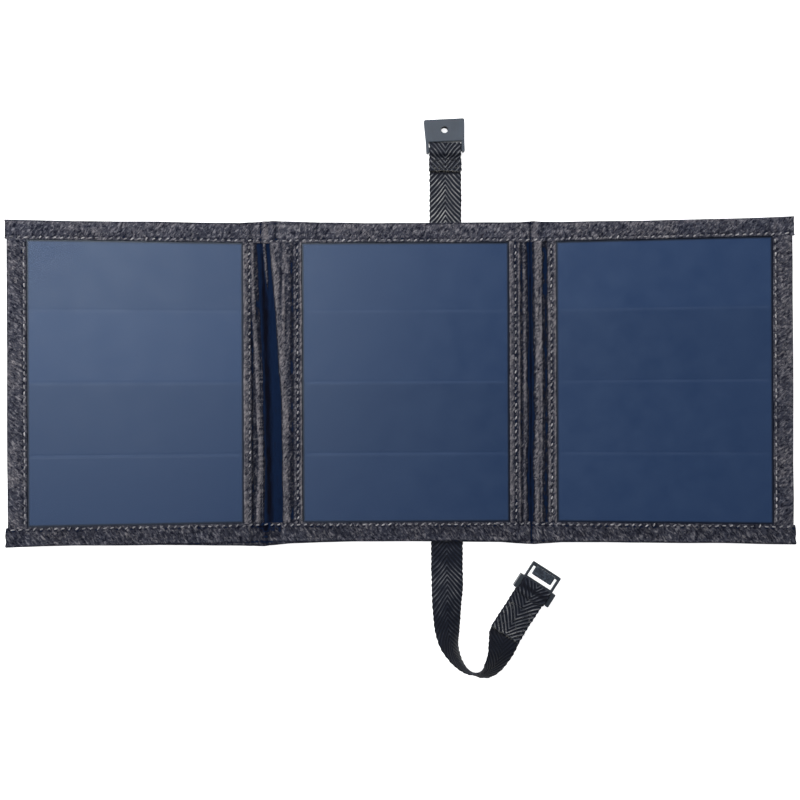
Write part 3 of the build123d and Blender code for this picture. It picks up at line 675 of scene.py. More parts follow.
def gutter_piece(name, x0, x1, shape):
    step = 0.3 * COARSE
    xs = np.linspace(x0, x1, int((x1 - x0) / step) + 2)
    ys = np.linspace(-HEM_REACH, HEM_REACH, int(2 * HEM_REACH / (0.8 * COARSE)))
    x, y = np.meshgrid(xs, ys, indexing="ij")
    top, painted_shade = shape(x, y)
    sunk = smooth((np.abs(y) - WINDOW_HALF + 0.6) / 1.8)  # it runs in under the long tapes
    low_z = under_cloth(x, y)
    top = top + (np.minimum(top, np.maximum(3.0, low_z + 0.35)) - top) * sunk
    top = np.clip(top, 2.66, 5.7)
    # painted highlight on crests and painted shade in hollows, from how far the cloth stands above its
    # blurred self, with some wear; plus noise
    crest = (top - blurred(top, 1.4 / step)) / 0.42 + 0.6 * (top - blurred(top, 3.4 / step)) / 0.8
    relief = np.clip(crest, -0.75, 0.9) * (0.85 + 0.35 * noise(x, y, 2.0, 4.5, 87))
    relief = relief + 0.3 * noise(x, y, 1.3, 2.2, 84) + 0.2 * noise(x, y, 4, 18, 85)
    for at in HEM_STITCH.values():  # painted shade in the needle holes between the stitches and in lines beside them, and a painted highlight on the rolled edge of each hem
        between = 0.5 - 0.5 * np.cos(2 * math.pi * (y - HEM_START) / HEM_PITCH)
        hole_shade = 0.95 * hump(x, at, 0.62) * between**0.6
        relief = relief - hole_shade - 0.35 * hump(x, at + 1.4, 0.5) - 0.2 * hump(x, at - 1.4, 0.5)
    for at, out in HEM_EDGES:
        relief = relief + 0.75 * hump(x, at - out * 0.5, 0.4) * (0.75 + 0.35 * noise(y, 0 * y, 3, 9, 86))
    # painted shade over the hollows, as deep as the shape says
    relief = relief * (1 - np.minimum(painted_shade, 1)) - painted_shade * (1.04 + 0.06 * noise(x, y, 1.4, 5, 88))
    rows, columns = x.shape
    edge = 0.2 * noise(y, 0 * y, 8, 9, 83)  # the hems' edges aren't quite straight
    for at, _ in HEM_EDGES:
        x = x + edge * smooth(1 - np.abs(x - at) / 1.2)
    front = np.stack([x, y, top], axis=2).reshape(-1, 3)
    back = np.stack([x, y, np.minimum(low_z, top - 0.3)], axis=2).reshape(-1, 3)
    points = np.concatenate([front, back])
    count = rows * columns
    faces = sheet_faces(rows, columns)
    slope = np.gradient(top, axis=0) / step
    girth = np.cumsum(np.sqrt(1 + slope**2), axis=0) * (xs[1] - xs[0]) + x0
    uv = np.stack([girth, y], axis=2).reshape(-1, 2)
    both = np.concatenate([relief.ravel(), np.full(count, -0.2)])
    return outward(add_mesh(name, points, faces, GUTTER_CLOTH, np.concatenate([uv, uv]), {"relief": both}))


# ---- stitches ----
def bead_shape():
    """A stitch: a capsule of thread that dips at both ends, 1 long and 1 across, along X."""
    rings, around = 7, 8
    t = np.linspace(-1, 1, rings)
    radius = np.sqrt(np.clip(1 - t**4, 0.02, 1)) * 0.5
    a = np.linspace(0, 2 * math.pi, around, endpoint=False)
    x = np.repeat(t[:, None] * 0.5, around, 1)
    y, z = radius[:, None] * np.cos(a), radius[:, None] * np.sin(a)
    z = z - 0.55 * np.abs(t[:, None]) ** 3
    points = np.stack([x, y, z], axis=2).reshape(-1, 3)
    faces = grid_faces(rings, around, close_columns=True)
    return points, faces


BEAD, BEAD_FACES = bead_shape()


def beads(name, places, thick=0.8, raw=False, thread=None):
    """One mesh of stitches. A place is x, y, z, direction, length, and 1 on the front or -1 on the back."""
    all_points, all_faces = [], []
    for i, (x, y, z, turn, length, face) in enumerate(places):
        local = BEAD * (length, thick, thick)
        c, s = math.cos(turn), math.sin(turn)
        px = x + local[:, 0] * c - local[:, 1] * s
        py = y + local[:, 0] * s + local[:, 1] * c
        all_points.append(np.stack([px, py, z + face * local[:, 2]], axis=1))
        all_faces.append(BEAD_FACES + i * len(BEAD))
    points, faces = np.concatenate(all_points), np.concatenate(all_faces)
    return outward(add_mesh(name, points, faces, thread or THREAD, raw=raw))


random = np.random.default_rng(5)


def row_of_stitches(a0, a1):
    """Places along a row with each stitch's slant and length."""
    count = int((a1 - a0) / PITCH)
    at = a0 + (np.arange(count) + 0.5) * (a1 - a0) / count
    return [(a + random.normal(0, 0.12), random.normal(0, 0.12), 2.7 + random.normal(0, 0.2)) for a in at]


def tape_stitches(x0, x1):
    """The stitches of both long tapes, front and back, over a stretch of X."""
    places = []
    for up in (1, -1):
        y = up * (HALF - STITCH_IN)
        for x, slant, length in row_of_stitches(x0, x1):
            top = float(wave_top(x))
            aslant = 0.5 + 2.2 * slant
            places.append((x, y + random.normal(0, 0.15), top + 0.02, aslant, length * 0.9, 1))
            places.append((x + 2, y, float(wave_low(x)) - 0.02, slant, length, -1))
    return places


def end_stitches(side):
    out = -1 if side == "left" else 1
    edge = (WINDOWS[side][0] if side == "left" else WINDOWS[side][1]) + out * TAPE_LEG
    x = edge - out * STITCH_IN
    places = []
    for y, slant, length in row_of_stitches(-WINDOW_HALF + 1, WINDOW_HALF - 1):
        places.append((x + random.normal(0, 0.08), y, TAPE_TOP + 0.03, math.pi / 2 + slant, length, 1))
        places.append((x, y + 2, TAPE_LOW - 0.02, math.pi / 2 + slant, length, -1))
    return places


def hem_stitches(which, shape):
    x = HEM_STITCH[which]
    places = []
    for y, slant, length in row_of_stitches(HEM_START, -HEM_START):
        z = float(shape(np.array([x]), np.array([y]))[0][0])
        places.append((x + random.normal(0, 0.12), y, z + 0.16, math.pi / 2 - 0.35 + slant, length * 0.92, 1))
    return places


# ---- webbing ----
RIB_PITCH, RIB_DEEP = 3.15, 0.46


def rib_height(s, w, sign, seed):
    """Herringbone ribs: raised bands that meet in a chevron on the webbing's middle line. 0 to 1."""
    slant = 1.45 * np.abs(w) - 0.030 * w * w  # the ribs curve a little towards the selvedges
    phase = (s * sign + slant + 0.5 * noise(s, w, 9, 5, seed)) / RIB_PITCH
    wave = (0.5 + 0.5 * np.cos(2 * math.pi * phase)) ** 1.5
    border = smooth((STRAP_WIDE / 2 - np.abs(w)) / 0.9)
    yarn = 0.85 + 0.15 * np.cos(2 * math.pi * (s * sign - np.abs(w)) / 0.8)
    return wave * yarn * (0.2 + 0.8 * border)


def webbing(name, centres, across, normals, start_s=0.0, sign=1, seed=0, fray=0.0, worn=0.9, shade_at=()):
    """A webbing swept through stations: centre, direction across and face normal of each, in millimetres.

    sign is which way its chevrons point, and worn how pale its ribs are, from wear and painted highlight: one
    number or one a station.
    shade_at holds how far along it lie the dark lines that a cut end or an edge above it throws."""
    lengths = np.linalg.norm(np.diff(centres, axis=0), axis=1)
    s = start_s + np.concatenate([[0], np.cumsum(lengths)])
    nw = int(STRAP_WIDE / (0.32 * COARSE))
    w = np.linspace(-1, 1, nw) * (STRAP_WIDE / 2)
    half = STRAP_THICK / 2 - 0.12
    S, W = np.meshgrid(s, w, indexing="ij")
    sign = np.broadcast_to(np.asarray(sign, float), s.shape)[:, None]
    rib = rib_height(S, W, sign, seed)
    rim = 0.35 * smooth((np.abs(W) - STRAP_WIDE / 2 + 0.8) / 0.8)
    front = half - rim + RIB_DEEP * (rib - 0.55)
    back_rib = rib_height(S + 1.1, W, sign, seed + 1)
    back = -(half - rim + RIB_DEEP * (back_rib - 0.55))
    scallop = 0.2 * noise(S, np.sign(W), 2.3, 1, seed + 2) + 0.16 * np.cos(2 * math.pi * S / RIB_PITCH)
    selvedge = scallop * (np.abs(W) > STRAP_WIDE / 2 - 0.4)
    reach = W + selvedge * np.sign(W)
    if fray:
        ends = smooth((S - s[-1] + 2.0) / 2.0)
        ragged = fray * noise(W, 0 * W, 1.1, 1, seed + 3) * ends
        reach = reach * (1 + 0.04 * smooth((S - s[-1] + 9) / 9))  # the cut end has spread
    else:
        ragged = 0 * S
    along = np.gradient(centres, axis=0)
    along /= np.linalg.norm(along, axis=1)[:, None]

    def place(height):
        return (
            centres[:, None, :]
            + across[:, None, :] * reach[:, :, None]
            + normals[:, None, :] * height[:, :, None]
            + along[:, None, :] * ragged[:, :, None]
        )

    ring = np.concatenate([place(front), place(back)[:, ::-1]], axis=1)
    rows, columns = ring.shape[:2]
    points = ring.reshape(-1, 3)
    faces = grid_faces(rows, columns, close_columns=True).tolist()
    faces.append(list(range(columns))[::-1])
    faces.append([(rows - 1) * columns + k for k in range(columns)])
    uv = np.concatenate([np.stack([S, W], 2), np.stack([S, W + 60], 2)[:, ::-1]], axis=1).reshape(-1, 2)
    if fray:  # the cut end is paler
        pale_end = 0.55 * smooth((S - s[-1] + 1.2) / 0.8) * (0.7 + 0.5 * noise(W, S, 1.3, 0.6, seed + 4))
        rib, back_rib = np.maximum(rib, pale_end), np.maximum(back_rib, pale_end)
    for at in shade_at:
        shadow = 1.1 * hump(S, at, 0.9)
        rib, back_rib = rib - shadow, back_rib - shadow
    pale = np.broadcast_to(np.asarray(worn, float), s.shape)[:, None] + 0 * W
    pale = np.concatenate([pale, pale], axis=1)
    values = {"rib": np.concatenate([rib, back_rib[:, ::-1]], axis=1), "worn": pale}
    return outward(add_mesh(name, points, faces, WEBBING, uv, values, raw=True))


def straight(p0, p1, step=0.34):
    count = max(3, int(np.linalg.norm(np.subtract(p1, p0)) / (step * COARSE)))
    t = np.linspace(0, 1, count)[:, None]
    return np.asarray(p0)[None, :] * (1 - t) + np.asarray(p1)[None, :] * t


def loop_top(d, bar):
    """Middle height of the returning layer, this far along the heading from its bar."""
    rest_z = STRAP_THICK * 1.5 + 0.02
    slope_start = -bar / 2 - 3.4
    return rest_z + (BAR_Z + LOOP_RADIUS - rest_z) * smooth((d - slope_start) / 2.8)


def loop_profile(lead, doubled, bar, nose):
    """Side view of webbing that runs to a bar, round it and back: distance along the heading, and height."""
    low_z = STRAP_THICK / 2
    front = nose - LOOP_RADIUS - STRAP_THICK / 2
    out = [(d, low_z) for d in np.arange(-doubled - lead, front, 0.34 * COARSE)]
    turn = np.linspace(-math.pi / 2, math.pi / 2, 16)
    out += [(front + LOOP_RADIUS * math.cos(t), BAR_Z + LOOP_RADIUS * math.sin(t)) for t in turn]
    back = np.arange(front, -doubled, -0.34 * COARSE)
    out += [(d, loop_top(d, bar)) for d in back[1:]]
    return np.array(out)


def loop_path(origin, turn, lead, doubled, bar, nose):
    profile = loop_profile(lead, doubled, bar, nose)
    heading = np.array([math.cos(turn), math.sin(turn), 0.0])
    centres = np.asarray(origin)[None, :] + profile[:, :1] * heading[None, :]
    centres[:, 2] = profile[:, 1]
    tangents = np.gradient(centres, axis=0)
    tangents /= np.linalg.norm(tangents, axis=1)[:, None]
    across = np.tile([math.sin(turn), -math.cos(turn), 0.0], (len(centres), 1))
    return centres, across, np.cross(across, tangents)


def spline(points, step):
    """A Catmull-Rom curve through rows of numbers, with places about `step` apart."""
    p = np.asarray(points, float)
    p = np.vstack([2 * p[0] - p[1], p, 2 * p[-1] - p[-2]])
    rows = []
    for a, b, c, d in zip(p, p[1:], p[2:], p[3:]):
        count = max(2, int(np.linalg.norm((c - b)[:2]) / step))
        t = np.linspace(0, 1, count, endpoint=False)[:, None]
        square, cube = 2 * a - 5 * b + 4 * c - d, 3 * b - a - 3 * c + d
        rows.append(0.5 * (2 * b + (c - a) * t + square * t**2 + cube * t**3))
    return np.vstack([*rows, p[-2:-1]])


def tail_path():
    """The tail from its fold line to the doubled end: it rises on edge in the bend and lands turned over."""
    stations = [(STRAP_X, -STRAP_ROOT - 8.9, 0), (STRAP_X, -STRAP_TURN, 0), *TAIL, (*TAIL_END, 180)]
    path = spline(stations, 0.34 * COARSE)
    xy, roll = path[:, :2], np.radians(path[:, 2])
    along = np.gradient(np.column_stack([xy, 0 * roll]), axis=0)
    along /= np.linalg.norm(along, axis=1)[:, None]
    flat = np.column_stack([-along[:, 1], along[:, 0], 0 * roll])
    up = np.array([0, 0, 1.0])
    across = flat * np.cos(roll)[:, None] - up * np.sin(roll)[:, None]
    normals = flat * np.sin(roll)[:, None] + up * np.cos(roll)[:, None]
    height = STRAP_WIDE / 2 * np.abs(np.sin(roll)) + STRAP_THICK / 2 * np.abs(np.cos(roll))
    return np.column_stack([xy, height]), across, normals


def box_stitch(origin, turn, x0, x1, z, wide=7.6):
    """A sewn rectangle with a cross in it, in the webbing's own directions."""
    corners = [(x0, -wide), (x1, -wide), (x1, wide), (x0, wide)]
    lines = list(zip(corners, corners[1:] + corners[:1]))
    lines += [(corners[0], corners[2]), (corners[1], corners[3])]
    c, s = math.cos(turn), math.sin(turn)
    places = []
    for (ax, ay), (bx, by) in lines:
        count = max(2, round(math.hypot(bx - ax, by - ay) / 2.6))
        slant = math.atan2(by - ay, bx - ax)
        for k in range(count):
            t = (k + 0.5) / count
            lx, ly = ax + (bx - ax) * t, ay + (by - ay) * t
            x, y = origin[0] + lx * c - ly * s, origin[1] + lx * s + ly * c
            places.append((x, y, z(lx), turn + slant, 2.0, 1))
    return places


# ---- film, back covers ----
def film_piece(side):
    x0, x1 = CORES[side]
    w0, w1 = WINDOWS[side]
    near_window = [np.linspace(w0 - 1, w0 + 3, 12), np.linspace(w1 - 3, w1 + 1, 12)]
    xs = np.unique(np.concatenate([np.linspace(x0 + 0.3, x1 - 0.3, 60), *near_window]))
    rows = [np.linspace(-CORE_HALF + 0.3, CORE_HALF - 0.3, 60)]
    for k in (-1, 0, 1):
        rows.append(np.linspace(k * CELL_PITCH - 2.4, k * CELL_PITCH + 2.4, 25))
    for edge in (-WINDOW_HALF, WINDOW_HALF):
        rows.append(np.linspace(edge - 3, edge + 3, 15))
    ys = np.unique(np.round(np.concatenate(rows), 4))
    x, y = np.meshgrid(xs, ys, indexing="ij")
    centre = CELL_CENTRES[side]
    inside = smooth((CELL_LONG / 2 + 0.5 - np.abs(x - centre)) / 1.5)
    dip = 0
    for k in (-1, 0, 1):
        dip = dip + 0.05 * smooth((CELL_GAP / 2 + 0.35 - np.abs(y - k * CELL_PITCH)) / 0.7)
    end = smooth((np.abs(x - centre) - CELL_LONG / 2) / 1.2) * 0.06
    top = FILM_TOP - dip * inside - end + 0.03 * noise(x, y, 30, 30, 91)
    from_edge = np.minimum(np.minimum(x - w0, w1 - x), WINDOW_HALF - np.abs(y))
    # painted shadow, darkest within a millimetre of the tapes and hems
    edge = 0.95 * (1 - smooth((from_edge - 0.7) / 1.0))
    front = np.stack([x, y, top], axis=2).reshape(-1, 3)
    back = np.stack([x, y, np.full_like(x, FILM_TOP - 0.16 - 0.13)], axis=2).reshape(-1, 3)
    faces = sheet_faces(*x.shape)
    # how far from the nearest gap between rows
    near = np.abs((y / CELL_PITCH + 0.5) % 1.0 - 0.5) * CELL_PITCH
    inner = (np.abs(y) < 1.5 * CELL_PITCH) * smooth((CELL_LONG / 2 - np.abs(x - centre)) / 3)
    gap = inner * smooth((CELL_GAP / 2 - near) / 0.8) * (0.8 + 0.25 * noise(x, y, 14, 40, 92))
    row = np.clip(np.floor(2 - y / CELL_PITCH), 0, 3).astype(int)
    values = {"edge": edge, "gap": gap, "tone": np.array(ROW_TONES[side])[row]}
    values = {key: np.concatenate([numbers.ravel()] * 2) for key, numbers in values.items()}
    obj = add_mesh(f"{side}_film_sheet", np.concatenate([front, back]), faces, FILM, None, values)
    return outward(obj)


def back_cover(side):
    """The cloth over a panel's back, a little slack between its seams."""
    x0, x1 = CORES[side]
    xs = np.linspace(x0 + 0.2, x1 - 0.2, int((x1 - x0) / (1.6 * COARSE)))
    ys = np.linspace(-CORE_HALF + 0.2, CORE_HALF - 0.2, int(2 * CORE_HALF / (1.6 * COARSE)))
    x, y = np.meshgrid(xs, ys, indexing="ij")
    inner = smooth((np.minimum(np.minimum(x - x0, x1 - x), CORE_HALF - np.abs(y)) - 11) / 8)
    slack = 0.10 * noise(x, y, 16, 30, 95) + 0.06 * noise(x, y, 6, 12, 96)
    face = 1.84 - inner * (0.05 + np.abs(slack))
    back = np.stack([x, y, face], axis=2).reshape(-1, 3)
    front = np.stack([x, y, np.full_like(x, 2.16)], axis=2).reshape(-1, 3)
    faces = sheet_faces(*x.shape)
    uv = np.stack([x, y], axis=2).reshape(-1, 2)
    points, uv = np.concatenate([back, front]), np.concatenate([uv, uv])
    return outward(add_mesh(f"{side}_back_cover", points, faces, BACK_CLOTH, uv))


# ---- build it ----
def wing_body(side):
    return side if side == "middle" else side + "_wing"


def bend(obj, side, which):
    """Bakes a piece's placement into its mesh; the points either side of one fold line of a gutter are worked
    out but not used.
    """
    out = -1 if side == "left" else 1
    axis, soft = FOLD_X[side][which], FOLD_SOFT[side][which]
    at_row(axis - out * soft)
    at_row(axis + out * soft)
    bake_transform(obj)
    return obj


for side in ("left", "middle", "right"):
    film = film_piece(side)
    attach(film, wing_body(side))
    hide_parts(f"{side}_front_film")
    cover = back_cover(side)
    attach(cover, wing_body(side))
    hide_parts(f"{side}_back_cloth")

for name, up in (("top", 1), ("bottom", -1)):
    runs = (
        ("left", "left", 1, "left_spine", "left_wing", TAPE_ENDS[0], SEAM_X["left"], ["left_wing"]),
        ("mid_left", "left", 0, "middle", "left_spine", SEAM_X["left"], 0.0, ["middle", "left_spine"]),
        ("mid_right", "right", 0, "middle", "right_spine", 0.0, SEAM_X["right"], ["middle", "right_spine"]),
        ("right", "right", 1, "right_spine", "right_wing", SEAM_X["right"], TAPE_ENDS[1], ["right_wing"]),
    )
    for label, side, which, inner, outer, x0, x1, stands_for in runs:
        piece = long_tape(f"{name}_tape_{label}", up, x0, x1)
        bend(piece, side, which)
        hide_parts(*[f"{body}_{name}_tape" for body in stands_for])

for side in ("left", "right"):
    piece = end_tape(f"{side}_end_binding", side)
    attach(piece, f"{side}_wing")
    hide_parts(f"{side}_end_tape")

LEFT_SEAM, RIGHT_SEAM = SEAM_X["left"], SEAM_X["right"]
LEFT_CLOTH, RIGHT_CLOTH = ["middle_left_gusset", "left_spine_web"], ["middle_right_gusset", "right_spine_web"]
gutter_cloths = (
    ("left_wing_hem", -99.3, LEFT_SEAM, "left", 1, "left_spine", "left_wing", ["left_wing_gusset"]),
    ("left_gutter_cloth", LEFT_SEAM, -63.5, "left", 0, "middle", "left_spine", LEFT_CLOTH),
    ("right_gutter_cloth", 63.5, RIGHT_SEAM, "right", 0, "middle", "right_spine", RIGHT_CLOTH),
    ("right_wing_hem", RIGHT_SEAM, 92.1, "right", 1, "right_spine", "right_wing", ["right_wing_gusset"]),
)
for name, x0, x1, side, which, inner, outer, stands_for in gutter_cloths:
    shape = left_gutter if side == "left" else right_gutter
    piece = gutter_piece(name, x0, x1, shape)
    bend(piece, side, which)
    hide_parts(*stands_for)

stitch_runs = (
    ("left_tape_stitches", TAPE_ENDS[0] + 2, SEAM_X["left"] - 0.5, "left", 1, "left_spine", "left_wing"),
    ("mid_left_tape_stitches", SEAM_X["left"] + 0.5, 0.0, "left", 0, "middle", "left_spine"),
    ("mid_right_tape_stitches", 0.0, SEAM_X["right"] - 0.5, "right", 0, "middle", "right_spine"),
    ("right_tape_stitches", SEAM_X["right"] + 0.5, TAPE_ENDS[1] - 2, "right", 1, "right_spine", "right_wing"),
)
for name, x0, x1, side, which, inner, outer in stitch_runs:
    piece = beads(name, tape_stitches(x0, x1))
    bend(piece, side, which)
for side in ("left", "right"):
    shape = left_gutter if side == "left" else right_gutter
    piece = beads(f"{side}_wing_stitches", end_stitches(side) + hem_stitches(f"{side}_wing", shape))
    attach(piece, f"{side}_wing")
places = hem_stitches("middle_left", left_gutter) + hem_stitches("middle_right", right_gutter)
piece = beads("middle_hem_stitches", places)
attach(piece, "middle")

# straps
mid_rise = STRAP_ROOT + 8.9
UP = np.array([0, 0, 1.0])


def flat_run(p0, p1):
    centres = straight(p0, p1)
    heading = (centres[-1] - centres[0]) / np.linalg.norm(centres[-1] - centres[0])
    across = np.tile(np.cross(heading, UP), (len(centres), 1))
    return centres, across, np.tile(UP, (len(centres), 1))


def fold_strap(piece, up, distance):
    """Bakes a strap piece's placement into its mesh; the points either side of a fold line this far from the
    middle line are worked out but not used.
    """
    ends = [at_row(STRAP_X, up * (distance + d), z0) for d in (-1.6, 1.6)]
    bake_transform(piece)


def strap_piece(stands_for):
    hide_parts(stands_for)


z0 = STRAP_THICK / 2
path = flat_run((STRAP_X, -HALF + 4, z0), (STRAP_X, HALF - 4, z0))
run = webbing("strap_back_webbing", *path, sign=-1, seed=101)
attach(run, "middle")
strap_piece("strap_back_run")
length = mid_rise - (HALF - 4)
for label, up, paleness in (("top", 1, 0.95), ("bottom", -1, 0.42)):
    path = flat_run((STRAP_X, up * (HALF - 4), z0), (STRAP_X, up * mid_rise, z0))
    piece = webbing(f"strap_{label}_webbing", *path, sign=up, seed=103, worn=paleness)
    fold_strap(piece, up, STRAP_ROOT)
    strap_piece(f"strap_{label}_rise")

lead = TOP_BAR_Y - TOP_DOUBLED - mid_rise
path = loop_path((STRAP_X, TOP_BAR_Y, 0), math.pi / 2, lead, TOP_DOUBLED, TOP_BAR, TOP_NOSE)
far = path[0][:, 1] > TOP_BAR_Y - TOP_DOUBLED
paleness = np.where(far, 0.78, 0.9)
look = {"sign": 1, "seed": 103, "fray": 0.5, "worn": paleness, "shade_at": (length + lead - 0.6,)}
piece = webbing("strap_top_loop", *path, start_s=length, **look)
fold_strap(piece, 1, STRAP_TURN)
strap_piece("strap_top_end")

tail, tail_across, tail_normals = tail_path()
end_heading = np.array([math.cos(TAIL_TURN), math.sin(TAIL_TURN), 0])
bar = np.array([*TAIL_END, 0]) + end_heading * BOTTOM_DOUBLED
loop, loop_across, loop_normals = loop_path(bar, TAIL_TURN, 0.0, BOTTOM_DOUBLED, BOTTOM_BAR, BOTTOM_NOSE)
flip = np.sign(float(tail_across[-1] @ loop_across[0]))  # the loop lies turned over, like the tail's end
path = (
    np.vstack([tail[:-1], loop]),
    np.vstack([tail_across[:-1], loop_across * flip]),
    np.vstack([tail_normals[:-1], loop_normals * flip]),
)
along = np.arange(len(path[0])) / len(tail)
# how pale the tail's ribs are along it, with a painted highlight where it stands on edge in the bend, at 0.67
pale_at = [0, 0.12, 0.3, 0.52, 0.6, 0.67, 0.75, 0.95, 1.25, 1.35, 1.6, 2.2]
paleness = np.interp(along, pale_at, [0.42, 0.8, 0.55, 0.24, 0.2, 0.6, 0.2, 0.22, 0.3, 0.6, 0.85, 0.9])
tail_long = float(np.linalg.norm(np.diff(tail, axis=0), axis=1).sum())
signs = np.where(np.arange(len(path[0])) < len(tail) + len(loop) // 2, -1, 1)
past_bar = (loop - bar) @ end_heading
half = len(loop) // 2
crossing = half + int(np.argmin(np.abs(past_bar[half:] - BAR_SHADOW_LINE)))
to_crossing = float(np.linalg.norm(np.diff(loop[: crossing + 1], axis=0), axis=1).sum())
# painted shadow lines: under the tail's cut end and at the bar's edge
lines = (length + tail_long - 0.6, length + tail_long + to_crossing)
look = {"sign": signs, "seed": 105, "fray": 0.8, "worn": paleness, "shade_at": lines}
piece = webbing("strap_tail_webbing", *path, start_s=length, **look)
fold_strap(piece, -1, STRAP_TURN)
strap_piece("strap_bottom_tail")


def frays(name, origin, turn, doubled, bar, count, body):
    """Loose yarn ends that stand out of a webbing's cut end and selvedges."""
    points, faces = [], []
    c, s = math.cos(turn), math.sin(turn)
    for _ in range(count):
        w = random.uniform(-STRAP_WIDE / 2, STRAP_WIDE / 2)
        start = np.array([-doubled + 0.3, w])
        aim = math.pi + random.normal(0, 0.5)
        if random.random() < 0.25:  # out of the selvedge
            side = random.choice([-1, 1])
            start = np.array([random.uniform(-doubled, -doubled + 8), side * STRAP_WIDE / 2])
            aim = side * math.pi / 2 + random.normal(0, 0.4)
        reach, bow, thick = random.uniform(0.7, 1.7), random.normal(0, 0.5), random.uniform(0.07, 0.13)
        base = len(points)
        for k in range(5):
            t = k / 4
            a = aim + bow * t
            x, y = start + reach * t * np.array([math.cos(a), math.sin(a)])
            z = loop_top(start[0], bar) + 0.35 + 0.25 * math.sin(3 * t)
            for m in range(5):
                turned = 2 * math.pi * m / 5
                off, rise = thick * (1 - 0.6 * t) * math.cos(turned), thick * (1 - 0.6 * t) * math.sin(turned)
                lx, ly = x - off * math.sin(a), y + off * math.cos(a)
                points.append((origin[0] + lx * c - ly * s, origin[1] + lx * s + ly * c, z + rise))
        faces.append(grid_faces(5, 5, close_columns=True) + base)
    piece = add_mesh(name, np.array(points), np.concatenate(faces), FRAY_THREAD, raw=True)
    outward(piece)
    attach(piece, body)


top_z = lambda lx: float(loop_top(lx, BOTTOM_BAR)) + STRAP_THICK / 2 + 0.12
places = box_stitch((STRAP_X, TOP_BAR_Y), math.pi / 2, -11.6, -6.2, top_z)
piece = beads("top_end_stitches", places, 0.5, raw=True, thread=STRAP_THREAD)
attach(piece, "top_end")
places = box_stitch(bar, TAIL_TURN, -29.0, -12.0, top_z)
piece = beads("tail_end_stitches", places, 0.5, raw=True, thread=STRAP_THREAD)
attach(piece, "tail")
frays("top_end_frays", (STRAP_X, TOP_BAR_Y), math.pi / 2, TOP_DOUBLED, TOP_BAR, 46, "top_end")
frays("tail_end_frays", bar, TAIL_TURN, BOTTOM_DOUBLED, BOTTOM_BAR, 40, "tail")

# CAD nodes that keep their shape
FOAM_GREYS = ((0.012, 0.012, 0.013), (0.02, 0.02, 0.021))
LOOKS = {
    "cells": CELLS,
    "encapsulant": RESIN,
    "latch_socket": LATCH,
    "buckle_frame": BUCKLE,
    "buckle_tongue": GRIP,
    "box_base": BOX,
    "box_lid": BOX,
    "tabs": metal_material("blackened_tabs", (0.012, 0.03, 0.09), 0.5),
    "leads": metal_material("lead_ribbon", (0.62, 0.6, 0.56), 0.35),
    "box_wires": metal_material("wire", (0.62, 0.6, 0.56), 0.35),
    "box_screws": metal_material("zinc_steel", (0.45, 0.45, 0.46), 0.3),
    "usb_socket_shell": metal_material("plated_shell", (0.62, 0.62, 0.63), 0.22),
    "capacitors": metal_material("can", (0.75, 0.75, 0.76), 0.3),
    "usb_socket_tongue": moulded_material("usb_insulator", (0.62, 0.62, 0.6), (0.72, 0.72, 0.7), rough=0.4),
    "regulator_board": moulded_material("solder_mask", (0.008, 0.07, 0.03), (0.012, 0.10, 0.045), rough=0.35),
    "inductor": moulded_material("ferrite", (0.05, 0.05, 0.052), (0.075, 0.075, 0.078), rough=0.6),
    "chips": moulded_material("chip_epoxy", (0.012, 0.012, 0.013), (0.02, 0.02, 0.022), rough=0.5),
    "status_light": moulded_material("light_pipe", (0.5, 0.58, 0.6), (0.62, 0.7, 0.72), rough=0.2),
    "box_foam_pad": moulded_material("foam", *FOAM_GREYS, rough=0.95, grain=0.8),
    "board": moulded_material("glass_fibre", (0.10, 0.115, 0.09), (0.13, 0.145, 0.12), rough=0.5),
}
for name, obj in frame["nodes"].items():
    key = name if name in LOOKS else next((k for k in LOOKS if name.endswith("_" + k)), None)
    if key:
        obj.data.materials.clear()
        obj.data.materials.append(LOOKS[key])

# ---- floor, lights, camera ----
floor_mat, _, floor_shader = new_material("floor")
floor_shader.inputs["Base Color"].default_value = (0.85, 0.85, 0.85, 1)
floor_shader.inputs["Emission Color"].default_value = (1, 1, 1, 1)
floor_shader.inputs["Emission Strength"].default_value = 0.85
floor_shader.inputs["Roughness"].default_value = 0.9
floor_shader.inputs["Specular IOR Level"].default_value = 0.0
bpy.ops.mesh.primitive_plane_add(size=6, location=(0, 0, -0.0008))
floor = bpy.context.object
floor.name = "floor"
floor.data.materials.append(floor_mat)

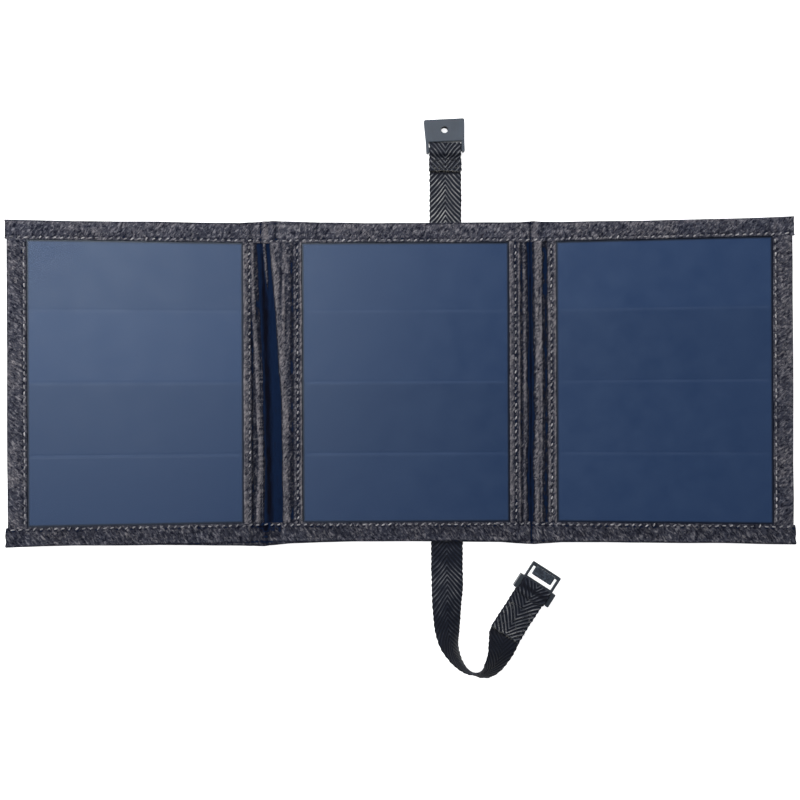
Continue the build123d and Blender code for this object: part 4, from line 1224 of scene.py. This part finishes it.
world = bpy.data.worlds.new("studio")
bpy.context.scene.world = world
world.use_nodes = True
world.node_tree.nodes["Background"].inputs["Color"].default_value = (0.93, 0.96, 1.0, 1)
world.node_tree.nodes["Background"].inputs["Strength"].default_value = 0.17


def area_light(name, location, size, power, colour=(1, 1, 1), lights_cloth=True):
    data = bpy.data.lights.new(name, "AREA")
    data.shape = "RECTANGLE"
    data.size, data.size_y = size
    data.energy = power
    data.color = colour
    obj = bpy.data.objects.new(name, data)
    obj.location = location
    target = np.array([0.0, 0.0, 0.0]) - np.array(location)
    obj.rotation_euler = Vector(target).to_track_quat("-Z", "Y").to_euler()
    obj.visible_diffuse = lights_cloth
    bpy.context.scene.collection.objects.link(obj)
    return obj


area_light("top_strip", (-0.15, 0.42, 0.52), (1.1, 0.25), 3.4, (1.0, 0.985, 0.96))
area_light("high_left", (-0.42, 0.30, 1.25), (0.6, 0.5), 4.5, (0.90, 0.95, 1.0))
area_light("low_left", (-0.9, 0.2, 0.6), (0.4, 0.6), 2.5, (1.0, 0.985, 0.96))
area_light("sky_left", (-0.66, -0.05, 1.25), (0.9, 1.3), 5.0, (0.97, 0.99, 1.0), lights_cloth=False)
area_light("fill_right", (1.2, 0.1, 1.0), (1.0, 1.2), 2.0, (0.90, 0.95, 1.0))

VIEW_WIDE = 489.2  # how much the camera takes in, across the front of the panels, in millimetres
VIEW_CENTRE = (-3.60785, -10.82355)  # where it looks, from the middle panel's centre, in millimetres
DISTANCE, SENSOR, CAMERA_ROLL = 0.42, 36, math.radians(-0.25)
camera_data = bpy.data.cameras.new("camera")
camera_data.sensor_width = SENSOR
camera_data.lens = SENSOR * DISTANCE / (VIEW_WIDE * MM)
camera = bpy.data.objects.new("camera", camera_data)
bpy.context.scene.collection.objects.link(camera)
look_at = SHIFT + np.array([*VIEW_CENTRE, 0.0]) * MM
camera.location = (look_at[0], look_at[1], DISTANCE + TAPE_TOP * MM)
camera.rotation_euler = (0, 0, CAMERA_ROLL)
bpy.context.scene.camera = camera
bpy.context.scene.view_settings.view_transform = "Standard"
